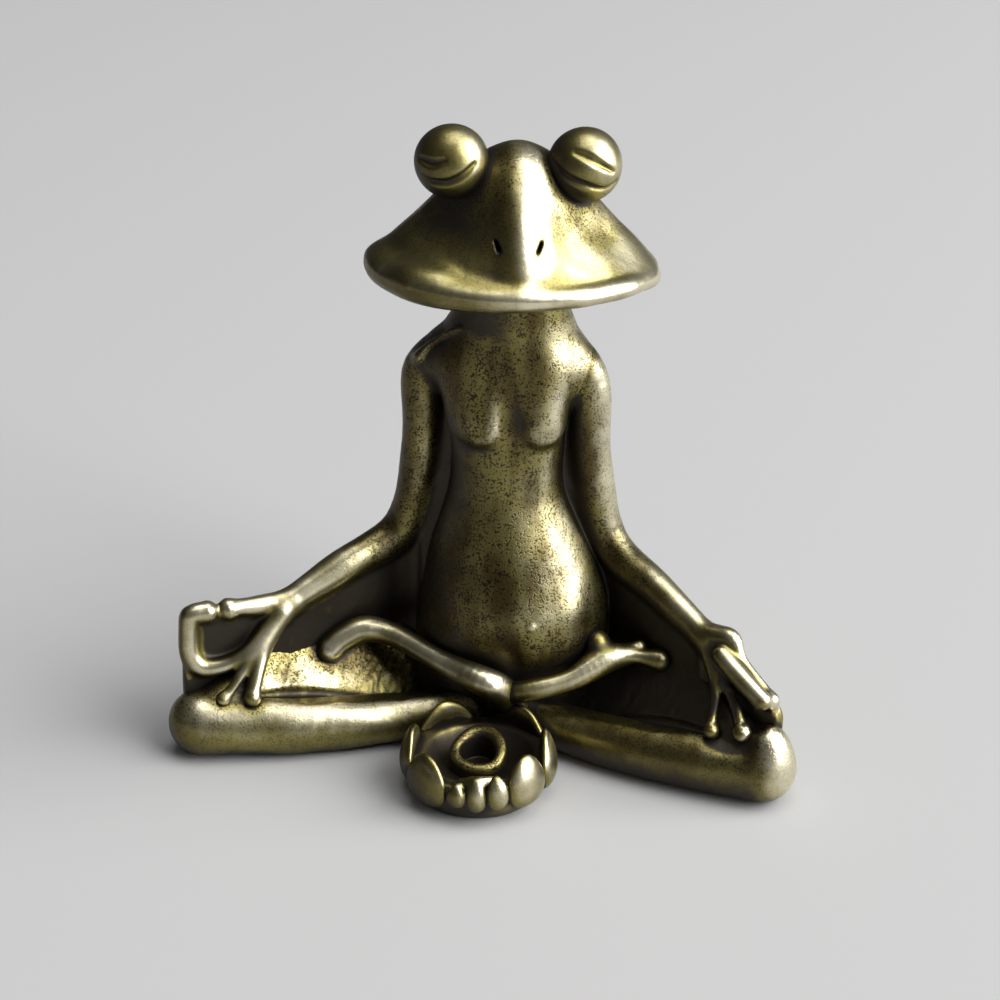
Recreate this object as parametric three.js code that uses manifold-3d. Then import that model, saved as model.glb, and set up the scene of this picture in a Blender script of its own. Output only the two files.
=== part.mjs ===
// A brass incense holder: a frog in the lotus position behind a lotus cup that holds the stick.
// Millimetres, +Z up. The frog looks along -Y, so its own left side is +X. The origin lies on the
// ground under the middle of the trunk. Left and right in the names are the frog's own.
// Neighbouring pieces are cut to each other's form, so each one sits in a seat with a thin seam.

import * as THREE from "three";
import { mergeVertices } from "three/addons/utils/BufferGeometryUtils.js";
import Module from "manifold-3d";

const wasm = await Module();
wasm.setup();

// Gap that the solder fills between two neighbouring pieces.
const SEAM = 0.3;

// Trunk: heights above the ground, the half width and half depth there, and its hand-made lean.
const NECK_TOP_HEIGHT = 32.4;
const NECK_HALF_WIDTH = 3.6;
const NECK_HALF_DEPTH = 3.25;
const NECK_BASE_HALF_WIDTH = 4.35;
const SHOULDER_HEIGHT = 26.4;
const SHOULDER_HALF_WIDTH = 5.6;
const SHOULDER_HALF_DEPTH = 3.4;
const CHEST_HEIGHT = 22.6;
const CHEST_HALF_WIDTH = 4.1;
const CHEST_HALF_DEPTH = 3.5;
const WAIST_HEIGHT = 17.6;
const WAIST_HALF_WIDTH = 3.8;
const WAIST_HALF_DEPTH = 3.5;
const BELLY_HEIGHT = 9.6;
const BELLY_HALF_WIDTH = 6.3;
const BELLY_HALF_DEPTH = 5.3;
const RUMP_HEIGHT = 3;
const RUMP_HALF_WIDTH = 6.4;
const RUMP_HALF_DEPTH = 5.2;
const NECK_LEAN = 0.35;
const CHEST_LEAN = 0.1;
const BELLY_LEAN = 0.8;
const BELLY_FORWARD = 0.6;
const BREAST_HEIGHT = 24.1;
const BREAST_HALF_WIDTH = 2.05;
const BREAST_HALF_HEIGHT = 2.6;
const BREAST_HALF_DEPTH = 1.5;
const BREAST_PROUD = 0.3;

// Head: a wide cap over the neck, with a thick lip, hollow cheeks and a blunt nose ridge.
// Turn and tilt are in degrees: the head looks a little to its left and leans the same way.
const HEAD_TURN = 9;
const HEAD_TILT = 1;
const LIP_ABOVE_NECK = 0.7;
const LIP_HALF_WIDTH = 9.35;
const LIP_FORWARD = 7.4;
const LIP_BACK = 4.8;
const LIP_THICKNESS = 1.5;
const JAW_DEPTH = 1.5;
const JAW_RIM = 0.8;
const HEAD_RISE = 8;
const BROW_HALF_WIDTH = 4.4;
const BROW_FORWARD = 3.9;
const EYE_RADIUS = 2.35;
const EYE_SPREAD = 4.15;
const EYE_RISE = 6.95;
const EYE_FORWARD = 1;
const NOSTRIL_SPREAD = 1.2;
const NOSTRIL_RISE = 3;
const NOSTRIL_FORWARD = 4.9;
const NOSTRIL_HALF_LENGTH = 0.35;
const NOSTRIL_RADIUS = 0.2;

// Creases of the closed lids: each runs from one direction to another over the ball of the eye,
// in degrees outward from straight ahead and in degrees above the level.
const UPPER_CREASE = [[-12, 33], [48, 1]];
const LOWER_CREASE = [[-38, 16], [60, -26]];
const CREASE_RADIUS = 0.17;

// Legs: the thigh lies flat, the shin is folded back in front of it and ends behind the lotus.
const HIP_SPREAD = 4.5;
const HIP_BACK = 2;
const HIP_RADIUS = 3.2;
const THIGH_HALF_WIDTH = 3;
const THIGH_HALF_HEIGHT = 2.5;
const KNEE_SPREAD = 18.7;
const KNEE_FORWARD = 8.3;
const KNEE_RADIUS = 2.3;
const SHIN_RADIUS = 1.95;
const SHIN_FORWARD = 6.9;
const ANKLE_RADIUS = 1.5;
const ANKLE_FORWARD = 3.4;
const LEG_SHIFT = -0.4;
const GROUND_FLAT = 0.1;

// Feet: each lies over the other leg's thigh, with one long toe and short ones beside it.
const FOOT_RADIUS = 0.95;
const TOE_RADIUS = 0.85;
const SHORT_TOE_RADIUS = 0.7;

// Arms: the shoulder sits on the trunk, the forearm reaches out and forward over the thigh. A thin
// web of metal closes the gaps behind the arm and the hand.
const SHOULDER_SPREAD = 5.4;
const SHOULDER_RADIUS = 1.5;
const SHOULDER_LEAN = -0.1;
const ELBOW_SPREAD = 7.05;
const ELBOW_BACK = 0.8;
const ELBOW_HEIGHT = 13.4;
const ELBOW_RADIUS = 1.4;
const WRIST_INSIDE_KNEE = 4.7;
const WRIST_BEHIND_KNEE = 3.8;
const WRIST_ABOVE_THIGH = 4.4;
const WRIST_RADIUS = 0.95;
const ARM_WEB = 1.4;

// Hands: slim fingers with round tips, with thumb and first finger closed to a ring.
const THUMB_RADIUS = 0.8;
const RING_FINGER_RADIUS = 0.75;
const FINGER_RADIUS = 0.55;
const FINGERTIP_RADIUS = 0.8;
const HAND_WEB = 0.8;

// Lotus: an open cup with petals laid round it and a tube for the stick in the middle.
const CUP_RADIUS = 4.1;
const CUP_HEIGHT = 3.2;
const CUP_WALL = 0.6;
const CUP_FLOOR = 1;
const CUP_FOOT_RADIUS = 2.4;
const CUP_SIDEWAYS = -0.2;
const PETAL_THICKNESS = 0.75;
const PETAL_HEIGHT = 4.3;
const PETAL_EDGE = 0.15;
const SOCKET_RADIUS = 1.8;
const SOCKET_HEIGHT = 1.8;
const STICK_BORE_RADIUS = 1.15;
const STICK_BORE_DEPTH = 1.4;

// Places that follow from the sizes above.
const LIP_HEIGHT = NECK_TOP_HEIGHT + LIP_ABOVE_NECK;
const THIGH_TOP = 2 * THIGH_HALF_HEIGHT + 0.2;
const WRIST_SPREAD = KNEE_SPREAD - WRIST_INSIDE_KNEE;
const WRIST_FORWARD = KNEE_FORWARD - WRIST_BEHIND_KNEE;
const WRIST_HEIGHT = THIGH_TOP + WRIST_ABOVE_THIGH;
const FOOT_HEIGHT = THIGH_TOP + 1.1 * FOOT_RADIUS;
const CUP_FORWARD = ANKLE_FORWARD + ANKLE_RADIUS + SEAM + PETAL_THICKNESS + CUP_RADIUS;

const brass = new THREE.MeshStandardMaterial({ color: 0xa08a52, roughness: 0.4, metalness: 1 });
const darkBrass = new THREE.MeshStandardMaterial({ color: 0x6f5f3a, roughness: 0.5, metalness: 1 });

/** Turns a closed geometry into a solid that can be joined and cut. */
function solidOf(geometry) {
  const bare = new THREE.BufferGeometry();
  bare.setAttribute("position", geometry.attributes.position);
  bare.setIndex(geometry.index);
  const merged = mergeVertices(bare);
  return new wasm.Manifold(new wasm.Mesh({
    numProp: 3,
    vertProperties: Float32Array.from(merged.attributes.position.array),
    triVerts: Uint32Array.from(merged.index.array),
  }));
}

/** Closes a stack of rings, each a list of points, with one end point below and one above. */
function stackOf(rings, first, last) {
  const sides = rings[0].length;
  const points = [first, ...rings.flat(), last];
  const top = points.length - 1;
  const faces = [];
  for (let side = 0; side < sides; side += 1) {
    const next = (side + 1) % sides;
    faces.push(0, 1 + next, 1 + side);
    for (let ring = 0; ring + 1 < rings.length; ring += 1) {
      const low = 1 + ring * sides;
      const high = low + sides;
      faces.push(low + side, low + next, high + next, low + side, high + next, high + side);
    }
    const end = top - sides;
    faces.push(top, end + side, end + next);
  }
  const geometry = new THREE.BufferGeometry().setFromPoints(points);
  geometry.setIndex(faces);
  return solidOf(geometry);
}

/**
 * A limb: an oval section carried along a smooth path and closed by round ends. Each station is
 * [x, y, z, half width, half height], and the half height is measured towards the upward hint.
 * A limb that is grown by the seam cuts its own seat into a neighbour.
 */
function limb(stations, { sides, rings, grow = 0, upward = new THREE.Vector3(0, 0, 1) }) {
  const path = new THREE.CatmullRomCurve3(stations.map(([x, y, z]) => new THREE.Vector3(x, y, z)));
  const girth = new THREE.CatmullRomCurve3(
    stations.map(([, , , wide, tall = wide]) => new THREE.Vector3(wide, tall, 0)),
  );
  const section = (share, beyond, shrink) => {
    const middle = path.getPoint(share);
    const forward = path.getTangent(share);
    const size = girth.getPoint(share);
    const side = new THREE.Vector3().crossVectors(forward, upward).normalize();
    const up = new THREE.Vector3().crossVectors(side, forward);
    middle.addScaledVector(forward, beyond * (Math.min(size.x, size.y) + grow));
    return Array.from({ length: sides }, (_, count) => {
      const angle = (-2 * Math.PI * count) / sides;
      return middle.clone()
        .addScaledVector(side, shrink * (size.x + grow) * Math.cos(angle))
        .addScaledVector(up, shrink * (size.y + grow) * Math.sin(angle));
    });
  };
  const rounding = [Math.PI / 6, Math.PI / 3];
  const loops = [
    ...rounding.toReversed().map((turn) => section(0, -Math.sin(turn), Math.cos(turn))),
    ...Array.from({ length: rings + 1 }, (_, ring) => section(ring / rings, 0, 1)),
    ...rounding.map((turn) => section(1, Math.sin(turn), Math.cos(turn))),
  ];
  return stackOf(loops, section(0, -1, 0)[0], section(1, 1, 0)[0]);
}

/** An upright plate: its outline of [along, z] lies over the line between two points of the plan. */
function plate(from, towards, outline, thickness) {
  const shape = new THREE.Shape(outline.map(([along, z]) => new THREE.Vector2(along, z)));
  const geometry = new THREE.ExtrudeGeometry(shape, { depth: thickness, bevelEnabled: false });
  const along = new THREE.Vector3(towards[0] - from[0], towards[1] - from[1], 0).normalize();
  const up = new THREE.Vector3(0, 0, 1);
  const across = new THREE.Vector3().crossVectors(along, up);
  geometry.translate(0, 0, -thickness / 2);
  const seat = new THREE.Matrix4().makeBasis(along, up, across).setPosition(from[0], from[1], 0);
  geometry.applyMatrix4(seat);
  return solidOf(geometry);
}

/** A ball with its own half sizes. */
function ball(middle, radii, sides) {
  const geometry = new THREE.SphereGeometry(1, sides, sides / 2);
  geometry.rotateX(Math.PI / 2).scale(...radii).translate(...middle);
  return solidOf(geometry);
}

/** A turned body on the middle of the cup, from its outline of [radius, height]. */
function turnedOnCup(outline, sides) {
  const points = outline.map(([radius, z]) => new THREE.Vector2(radius, z));
  const geometry = new THREE.LatheGeometry(points, sides);
  geometry.rotateX(Math.PI / 2).translate(CUP_SIDEWAYS, -CUP_FORWARD, 0);
  return solidOf(geometry);
}

/** The underside is ground flat, so nothing reaches below the ground. */
function groundFlat(solid) {
  const width = 8 * KNEE_SPREAD;
  const block = new THREE.BoxGeometry(width, width, width).translate(0, 0, -width / 2);
  return solid.subtract(solidOf(block));
}

/** The trunk from the rump to the top of the neck, with two flat breasts. */
function trunk(grow = 0) {
  const neckBase = 0.6 * SHOULDER_HEIGHT + 0.4 * NECK_TOP_HEIGHT;
  const body = limb([
    [0, 0.6, 0, RUMP_HALF_WIDTH, RUMP_HALF_DEPTH],
    [0.3 * BELLY_LEAN, 0.4, RUMP_HEIGHT, RUMP_HALF_WIDTH, RUMP_HALF_DEPTH],
    [BELLY_LEAN, -BELLY_FORWARD, BELLY_HEIGHT, BELLY_HALF_WIDTH, BELLY_HALF_DEPTH],
    [CHEST_LEAN, 0, WAIST_HEIGHT, WAIST_HALF_WIDTH, WAIST_HALF_DEPTH],
    [CHEST_LEAN, 0, CHEST_HEIGHT, CHEST_HALF_WIDTH, CHEST_HALF_DEPTH],
    [0, 0.2, SHOULDER_HEIGHT, SHOULDER_HALF_WIDTH, SHOULDER_HALF_DEPTH],
    [0.5 * NECK_LEAN, 0.2, neckBase, NECK_BASE_HALF_WIDTH, NECK_HALF_DEPTH],
    [NECK_LEAN, 0.1, NECK_TOP_HEIGHT - 0.5 * NECK_HALF_DEPTH, NECK_HALF_WIDTH, NECK_HALF_DEPTH],
  ], { sides: 24, rings: 18, grow, upward: new THREE.Vector3(0, -1, 0) });
  const radii = [BREAST_HALF_WIDTH + grow, BREAST_HALF_DEPTH + grow, BREAST_HALF_HEIGHT + grow];
  const front = BREAST_HALF_DEPTH - BREAST_PROUD - CHEST_HALF_DEPTH;
  const breasts = [-1, 1].map((side) => ball(
    [side * 0.92 * BREAST_HALF_WIDTH, front, BREAST_HEIGHT], radii, 18,
  ).rotate([0, 0, HEAD_TURN]).translate([CHEST_LEAN, 0, 0]));
  return groundFlat(body.add(breasts[0]).add(breasts[1]));
}

/** One level outline of the head: round at the back, and in front drawn in beside the nose ridge. */
function headOutline([z, wide, front, back, hollow]) {
  const sides = 40;
  return Array.from({ length: sides }, (_, count) => {
    const angle = (2 * Math.PI * count) / sides;
    const across = Math.cos(angle);
    const along = Math.sin(angle);
    const [reach, power] = along < 0 ? [front, hollow] : [back, 1];
    return new THREE.Vector3(
      wide * Math.sign(across) * Math.abs(across) ** power,
      reach * Math.sign(along) * Math.abs(along) ** power,
      z,
    );
  });
}

/** The head stacked from level outlines, widest at the lip, with hollow cheeks above the lip. */
function headCap() {
  // Each level is [height above the lip, half width, reach forward, reach back, hollow of the cheek].
  const levels = [
    [-JAW_DEPTH, NECK_HALF_WIDTH + JAW_RIM, NECK_HALF_DEPTH + JAW_RIM, NECK_HALF_DEPTH + JAW_RIM, 1],
    [-0.6 * JAW_DEPTH, 0.8 * LIP_HALF_WIDTH, 0.82 * LIP_FORWARD, 0.9 * LIP_BACK, 1],
    [-0.3 * LIP_THICKNESS, 0.95 * LIP_HALF_WIDTH, 0.97 * LIP_FORWARD, 0.97 * LIP_BACK, 1.1],
    [0.1 * LIP_THICKNESS, LIP_HALF_WIDTH, LIP_FORWARD, LIP_BACK, 1.1],
    [0.6 * LIP_THICKNESS, 0.98 * LIP_HALF_WIDTH, 0.98 * LIP_FORWARD, LIP_BACK, 1.14],
    [1.2 * LIP_THICKNESS, 0.88 * LIP_HALF_WIDTH, 0.93 * LIP_FORWARD, 0.97 * LIP_BACK, 1.4],
    [0.35 * HEAD_RISE, 0.73 * LIP_HALF_WIDTH, 0.85 * LIP_FORWARD, 0.94 * LIP_BACK, 1.65],
    [0.5 * HEAD_RISE, 0.59 * LIP_HALF_WIDTH, 0.74 * LIP_FORWARD, 0.88 * LIP_BACK, 1.7],
    [0.7 * HEAD_RISE, BROW_HALF_WIDTH, BROW_FORWARD, 0.78 * LIP_BACK, 1.4],
    [0.86 * HEAD_RISE, 0.74 * BROW_HALF_WIDTH, 0.72 * BROW_FORWARD, 0.6 * LIP_BACK, 1.1],
    [0.96 * HEAD_RISE, 0.42 * BROW_HALF_WIDTH, 0.4 * BROW_FORWARD, 0.36 * LIP_BACK, 1],
  ];
  const low = new THREE.Vector3(0, 0, -JAW_DEPTH);
  const crown = new THREE.Vector3(0, 0, HEAD_RISE);
  return stackOf(levels.map(headOutline), low, crown);
}

/** The slit of a nostril, to be cut beside the nose ridge; the two slits draw together downwards. */
function nostril(side) {
  const ends = [-NOSTRIL_HALF_LENGTH, NOSTRIL_HALF_LENGTH].map((rise) => {
    const spread = NOSTRIL_SPREAD + 0.5 * rise;
    return [side * spread, -NOSTRIL_FORWARD, NOSTRIL_RISE + rise, NOSTRIL_RADIUS, 2 * NOSTRIL_RADIUS];
  });
  return onNeck(limb(ends, { sides: 8, rings: 1, upward: new THREE.Vector3(0, 1, 0) }));
}

/** Sets a piece of the head, made round the middle of the lip, over the neck. */
function onNeck(solid) {
  return solid.rotate([0, HEAD_TILT, HEAD_TURN]).translate([NECK_LEAN, 0, LIP_HEIGHT]);
}

/** The ball of an eye, set into the brow. */
function eye(side, grow = 0) {
  const radius = EYE_RADIUS + grow;
  return onNeck(ball([side * EYE_SPREAD, -EYE_FORWARD, EYE_RISE], [radius, radius, radius], 20));
}

/** A crease of the closed lid, to be cut into the ball of the eye. */
function lidCrease(side, [from, to]) {
  const steps = 4;
  const stations = Array.from({ length: steps + 1 }, (_, step) => {
    const [outward, rise] = from.map((angle, axis) => (
      THREE.MathUtils.degToRad(THREE.MathUtils.lerp(angle, to[axis], step / steps))
    ));
    const level = EYE_RADIUS * Math.cos(rise);
    return [
      side * (EYE_SPREAD + level * Math.sin(outward)),
      -EYE_FORWARD - level * Math.cos(outward),
      EYE_RISE + EYE_RADIUS * Math.sin(rise),
      CREASE_RADIUS,
    ];
  });
  return onNeck(limb(stations, { sides: 6, rings: 8 }));
}

/** A folded leg: the thigh from hip to knee, and the shin from the knee back to the middle. */
function leg(side, grow = 0) {
  const make = { sides: 12, rings: 9, grow };
  const kneeHeight = KNEE_RADIUS - GROUND_FLAT;
  const knee = [side * KNEE_SPREAD, -KNEE_FORWARD, kneeHeight];
  const midThigh = [side * 0.55 * KNEE_SPREAD, -0.3 * KNEE_FORWARD, THIGH_TOP - THIGH_HALF_HEIGHT];
  const thigh = limb([
    [side * HIP_SPREAD, HIP_BACK, HIP_RADIUS - GROUND_FLAT, HIP_RADIUS],
    [...midThigh, THIGH_HALF_WIDTH, THIGH_HALF_HEIGHT],
    [...knee, 0.9 * KNEE_RADIUS],
  ], make);
  const calfForward = 0.6 * ANKLE_FORWARD + 0.4 * SHIN_FORWARD;
  const shin = limb([
    [...knee, KNEE_RADIUS],
    [side * 0.62 * KNEE_SPREAD, -SHIN_FORWARD, SHIN_RADIUS - GROUND_FLAT, SHIN_RADIUS],
    [side * 0.3 * KNEE_SPREAD, -calfForward, ANKLE_RADIUS + 0.3, ANKLE_RADIUS + 0.1],
    [side * (ANKLE_RADIUS + SEAM) - LEG_SHIFT, -ANKLE_FORWARD, ANKLE_RADIUS + 1, ANKLE_RADIUS],
  ], make);
  return groundFlat(thigh.add(shin).translate([LEG_SHIFT, 0, 0]));
}

/** A foot from its heel to its long toe; points are [x, y, height over the foot's level]. */
function foot(points, shortToes, grow) {
  const last = points.length - 1;
  const girth = (count) => (count === last ? [TOE_RADIUS] : [FOOT_RADIUS, 1.2 * FOOT_RADIUS]);
  const sole = limb(
    points.map(([x, y, up], count) => [x, y, FOOT_HEIGHT + up, ...girth(count)]),
    { sides: 10, rings: 4 * last, grow },
  );
  const toes = shortToes.map((ends) => limb(
    ends.map(([x, y, up]) => [x, y, FOOT_HEIGHT + up, SHORT_TOE_RADIUS]),
    { sides: 8, rings: 3, grow },
  ));
  return toes.reduce((whole, toe) => whole.add(toe), sole);
}

function leftFoot(grow = 0) {
  const heelToToe = [
    [-0.4, -6.4, -0.1], [-3.4, -4.9, 0.1], [-7.4, -2.6, 0.6], [-10, -2.4, 0.7], [-11.7, -3.4, -0.2],
  ];
  const upperToe = [[-9, -2.5, 0.7], [-10.7, -2.8, 1.4]];
  return foot(heelToToe, [upperToe], grow);
}

function rightFoot(grow = 0) {
  const heelToToe = [[2.8, -6.2, -0.6], [5.6, -5, -0.2], [8.2, -3, 0.7], [11.1, -2.8, 0.5]];
  const heelSpur = [[8, -3, 0.6], [7.7, -2.2, 1.2]];
  const upperToe = [[8.8, -2.8, 0.7], [10.3, -2.8, 1.6]];
  return foot(heelToToe, [heelSpur, upperToe], grow);
}

/** The wrist's place: fingers and the web below the hand are measured from it. */
function wristOf(side) {
  return [side * WRIST_SPREAD, -WRIST_FORWARD, WRIST_HEIGHT];
}

/** An arm from the shoulder over the elbow to the wrist, without its web. */
function bareArm(side, grow) {
  const shoulder = [side * SHOULDER_SPREAD + SHOULDER_LEAN, 0.3, SHOULDER_HEIGHT - SHOULDER_RADIUS];
  const elbow = [side * ELBOW_SPREAD, ELBOW_BACK, ELBOW_HEIGHT];
  const wrist = wristOf(side);
  const between = (from, to, share) => from.map((value, axis) => value + share * (to[axis] - value));
  const [, upperArmBack, upperArmHeight] = between(shoulder, elbow, 0.5);
  return limb([
    [0.85 * shoulder[0], shoulder[1], SHOULDER_HEIGHT, 0.9 * SHOULDER_RADIUS],
    [...shoulder, SHOULDER_RADIUS],
    [0.75 * shoulder[0] + 0.25 * elbow[0], upperArmBack, upperArmHeight, 0.93 * SHOULDER_RADIUS],
    [...elbow, ELBOW_RADIUS],
    [...between(elbow, wrist, 0.5), 0.6 * ELBOW_RADIUS + 0.4 * WRIST_RADIUS],
    [...wrist, WRIST_RADIUS],
  ], { sides: 12, rings: 15, grow, upward: new THREE.Vector3(0, 1, 0.3) });
}

/** An arm with the web that fills the gap to the trunk and the one down to the thigh. */
function arm(side, grow = 0) {
  const elbow = [side * ELBOW_SPREAD, ELBOW_BACK];
  const wrist = wristOf(side);
  const flank = plate([0, ELBOW_BACK], elbow, [
    [0, THIGH_HALF_HEIGHT],
    [ELBOW_SPREAD, THIGH_HALF_HEIGHT],
    [ELBOW_SPREAD, ELBOW_HEIGHT],
    [SHOULDER_HALF_WIDTH, SHOULDER_HEIGHT - SHOULDER_RADIUS],
    [0, SHOULDER_HEIGHT - SHOULDER_RADIUS],
  ], ARM_WEB + 2 * grow);
  const reach = Math.hypot(wrist[0] - elbow[0], wrist[1] - elbow[1]);
  const forearm = plate(elbow, wrist, [
    [0, THIGH_HALF_HEIGHT],
    [reach + grow, THIGH_HALF_HEIGHT],
    [reach + grow, WRIST_HEIGHT],
    [0, ELBOW_HEIGHT],
  ], ARM_WEB + 2 * grow);
  return bareArm(side, grow).add(flank).add(forearm);
}

/** A hand: each finger's points are [outward, forward, up] from the wrist, and so is the web. */
function hand(side, fingers, webEnd, webOutline) {
  const place = ([out, forward, up]) => [
    side * (WRIST_SPREAD + out), -WRIST_FORWARD - forward, WRIST_HEIGHT + up,
  ];
  const limbs = fingers.map(({ points, radius, tip }) => limb(
    points.map((point, count) => [...place(point), count === points.length - 1 ? tip : radius]),
    { sides: 8, rings: 3 * (points.length - 1), upward: new THREE.Vector3(0.2, 1, 0.4) },
  ));
  const raised = webOutline.map(([along, up]) => [along, WRIST_HEIGHT + up]);
  const web = plate(wristOf(side), place(webEnd), raised, HAND_WEB);
  return limbs.reduce((whole, finger) => whole.add(finger), web);
}

function rightHand() {
  const thumb = [[-0.3, -0.2, 0], [1.6, 1, -0.1], [3.2, 2, -0.05]];
  const first = [
    [0.3, 0.6, -0.4], [1.8, 2.3, -2.4], [3.6, 2.9, -3.4], [5.2, 3.3, -3.3], [6, 3.3, -1.6], [5, 2.8, 0.3],
  ];
  const second = [[0.3, 0.6, -0.4], [1.9, 2.6, -2.8], [3.5, 4.2, -5.2]];
  const third = [[0.3, 0.6, -0.4], [1.2, 2.4, -2.8], [1.5, 3.9, -5.1]];
  const webOutline = [
    [0, -WRIST_ABOVE_THIGH], [7.2, -WRIST_ABOVE_THIGH - 1], [7.2, -1.6], [5.6, 0], [0, 0],
  ];
  return hand(-1, [
    { points: thumb, radius: THUMB_RADIUS, tip: FINGERTIP_RADIUS },
    { points: first, radius: RING_FINGER_RADIUS, tip: FINGERTIP_RADIUS },
    { points: second, radius: FINGER_RADIUS, tip: FINGERTIP_RADIUS },
    { points: third, radius: FINGER_RADIUS, tip: FINGERTIP_RADIUS },
  ], [6, 3.1, 0], webOutline);
}

function leftHand() {
  const thumb = [[-0.3, -0.2, 0], [1.6, 1.2, 0.6], [3, 2, -0.6], [4.4, 2.7, -2.2], [5, 3.4, -2.8]];
  const first = [[-0.3, -0.2, 0], [1.1, 2.2, -0.3], [2.7, 3.4, -1.4], [4.2, 4.3, -2.5]];
  const second = [[0.2, 0.4, -0.3], [1, 2.2, -2.6], [0.8, 3.5, -5.2]];
  const third = [[0.2, 0.4, -0.3], [1.9, 2.4, -2.6], [2.8, 3.8, -5.2]];
  const webOutline = [
    [0, -WRIST_ABOVE_THIGH], [5.6, -WRIST_ABOVE_THIGH - 1], [5.8, -3], [3.2, -0.4], [0, 0],
  ];
  return hand(1, [
    { points: thumb, radius: FINGER_RADIUS, tip: FINGERTIP_RADIUS },
    { points: first, radius: RING_FINGER_RADIUS, tip: RING_FINGER_RADIUS },
    { points: second, radius: FINGER_RADIUS, tip: FINGERTIP_RADIUS },
    { points: third, radius: FINGER_RADIUS, tip: FINGERTIP_RADIUS },
  ], [5, 3.2, 0], webOutline);
}

/** Radius of the outside of the cup at a height: a bowl that swells quickly above its foot. */
function cupRadiusAt(z) {
  const share = Math.min(z / CUP_HEIGHT, 1);
  return CUP_FOOT_RADIUS + (CUP_RADIUS - CUP_FOOT_RADIUS) * Math.sin((Math.PI / 2) * share) ** 0.7;
}

/** The open cup of the lotus, with an even wall and a thick floor. */
function cup() {
  const steps = 6;
  const heights = Array.from({ length: steps + 1 }, (_, step) => step / steps);
  const outside = heights.map((share) => [cupRadiusAt(share * CUP_HEIGHT), share * CUP_HEIGHT]);
  const inside = heights.toReversed().map((share) => [
    cupRadiusAt(share * CUP_HEIGHT) - CUP_WALL,
    CUP_FLOOR + share * (CUP_HEIGHT - CUP_FLOOR),
  ]);
  return turnedOnCup([[0, 0], ...outside, ...inside, [0, CUP_FLOOR]], 32);
}

/** A petal: a leaf bent round the cup, thick in the middle and thin along its edge. */
function petal(angle, halfAngle, height) {
  const across = 6;
  const rows = 7;
  const place = (turn, radius, z) => new THREE.Vector3(
    CUP_SIDEWAYS + radius * Math.sin(turn), -CUP_FORWARD - radius * Math.cos(turn), z,
  );
  const rings = Array.from({ length: rows + 1 }, (_, row) => {
    const share = (row + 0.4) / (rows + 0.8);
    const z = SEAM + (height - SEAM) * share;
    const leaf = Math.cos((Math.PI / 2) * share ** 2.2) ** 0.6;
    const radius = cupRadiusAt(z) + SEAM;
    const face = (count, thickness) => {
      const over = (2 * count) / across - 1;
      const round = Math.sqrt(Math.max(1 - over * over, 0));
      const swell = PETAL_EDGE + thickness * round * (0.4 + 0.6 * leaf);
      return place(angle + over * halfAngle * leaf, radius + swell, z);
    };
    const outer = Array.from({ length: across + 1 }, (_, count) => face(count, PETAL_THICKNESS));
    const inner = Array.from({ length: across - 1 }, (_, count) => face(across - 1 - count, 0));
    return [...outer, ...inner];
  });
  const low = place(angle, cupRadiusAt(SEAM) + SEAM + PETAL_EDGE, SEAM);
  const tip = place(angle, cupRadiusAt(height) + SEAM + PETAL_EDGE, height);
  return stackOf(rings, low, tip);
}

/** The tube that the incense stick stands in, with a rounded rim and a blind bore. */
function socket() {
  const foot = CUP_FLOOR + SEAM;
  const top = foot + SOCKET_HEIGHT;
  const rim = 0.5 * (SOCKET_RADIUS - STICK_BORE_RADIUS);
  return turnedOnCup([
    [0, foot],
    [SOCKET_RADIUS, foot],
    [SOCKET_RADIUS, top - rim],
    [SOCKET_RADIUS - rim, top],
    [STICK_BORE_RADIUS, top - 0.6 * rim],
    [STICK_BORE_RADIUS, top - STICK_BORE_DEPTH],
    [0, top - STICK_BORE_DEPTH],
  ], 28);
}

/** An eye with the creases of its closed lid. */
function closedEye(side) {
  return seated(eye(side), lidCrease(side, UPPER_CREASE), lidCrease(side, LOWER_CREASE));
}

const holder = new THREE.Group();

/** Adds one named piece: the main body of a solid, without slivers that a cut left beside it. */
function addPiece(name, solid, material) {
  const [main] = solid.decompose().sort((one, other) => other.volume() - one.volume());
  const { vertProperties, triVerts } = main.getMesh();
  const geometry = new THREE.BufferGeometry();
  geometry.setAttribute("position", new THREE.BufferAttribute(vertProperties, 3));
  geometry.setIndex(new THREE.BufferAttribute(triVerts, 1));
  const mesh = new THREE.Mesh(geometry, material);
  mesh.name = name;
  holder.add(mesh);
}

/** A solid with the room of its neighbours cut away. */
function seated(solid, ...rooms) {
  return rooms.reduce((left, room) => left.subtract(room), solid);
}

const trunkRoom = trunk(SEAM);
const eyeRoom = eye(-1, SEAM).add(eye(1, SEAM));
const legRoom = leg(-1, SEAM).add(leg(1, SEAM));
const footRoom = leftFoot(SEAM).add(rightFoot(SEAM));

addPiece("torso", trunk(), brass);
addPiece("head", seated(onNeck(headCap()), trunkRoom, eyeRoom, nostril(-1), nostril(1)), brass);
addPiece("left_eye", closedEye(1), brass);
addPiece("right_eye", closedEye(-1), brass);
addPiece("left_leg", seated(leg(1), trunkRoom), brass);
addPiece("right_leg", seated(leg(-1), trunkRoom), brass);
addPiece("left_foot", seated(leftFoot(), trunkRoom, legRoom), brass);
addPiece("right_foot", seated(rightFoot(), trunkRoom, legRoom), brass);
addPiece("left_arm", seated(arm(1), trunkRoom, legRoom, footRoom), brass);
addPiece("right_arm", seated(arm(-1), trunkRoom, legRoom, footRoom), brass);
addPiece("left_hand", seated(leftHand(), arm(1, SEAM), legRoom), brass);
addPiece("right_hand", seated(rightHand(), arm(-1, SEAM), legRoom), brass);
addPiece("lotus_cup", seated(cup(), legRoom, footRoom), darkBrass);
addPiece("stick_socket", socket(), brass);

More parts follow.
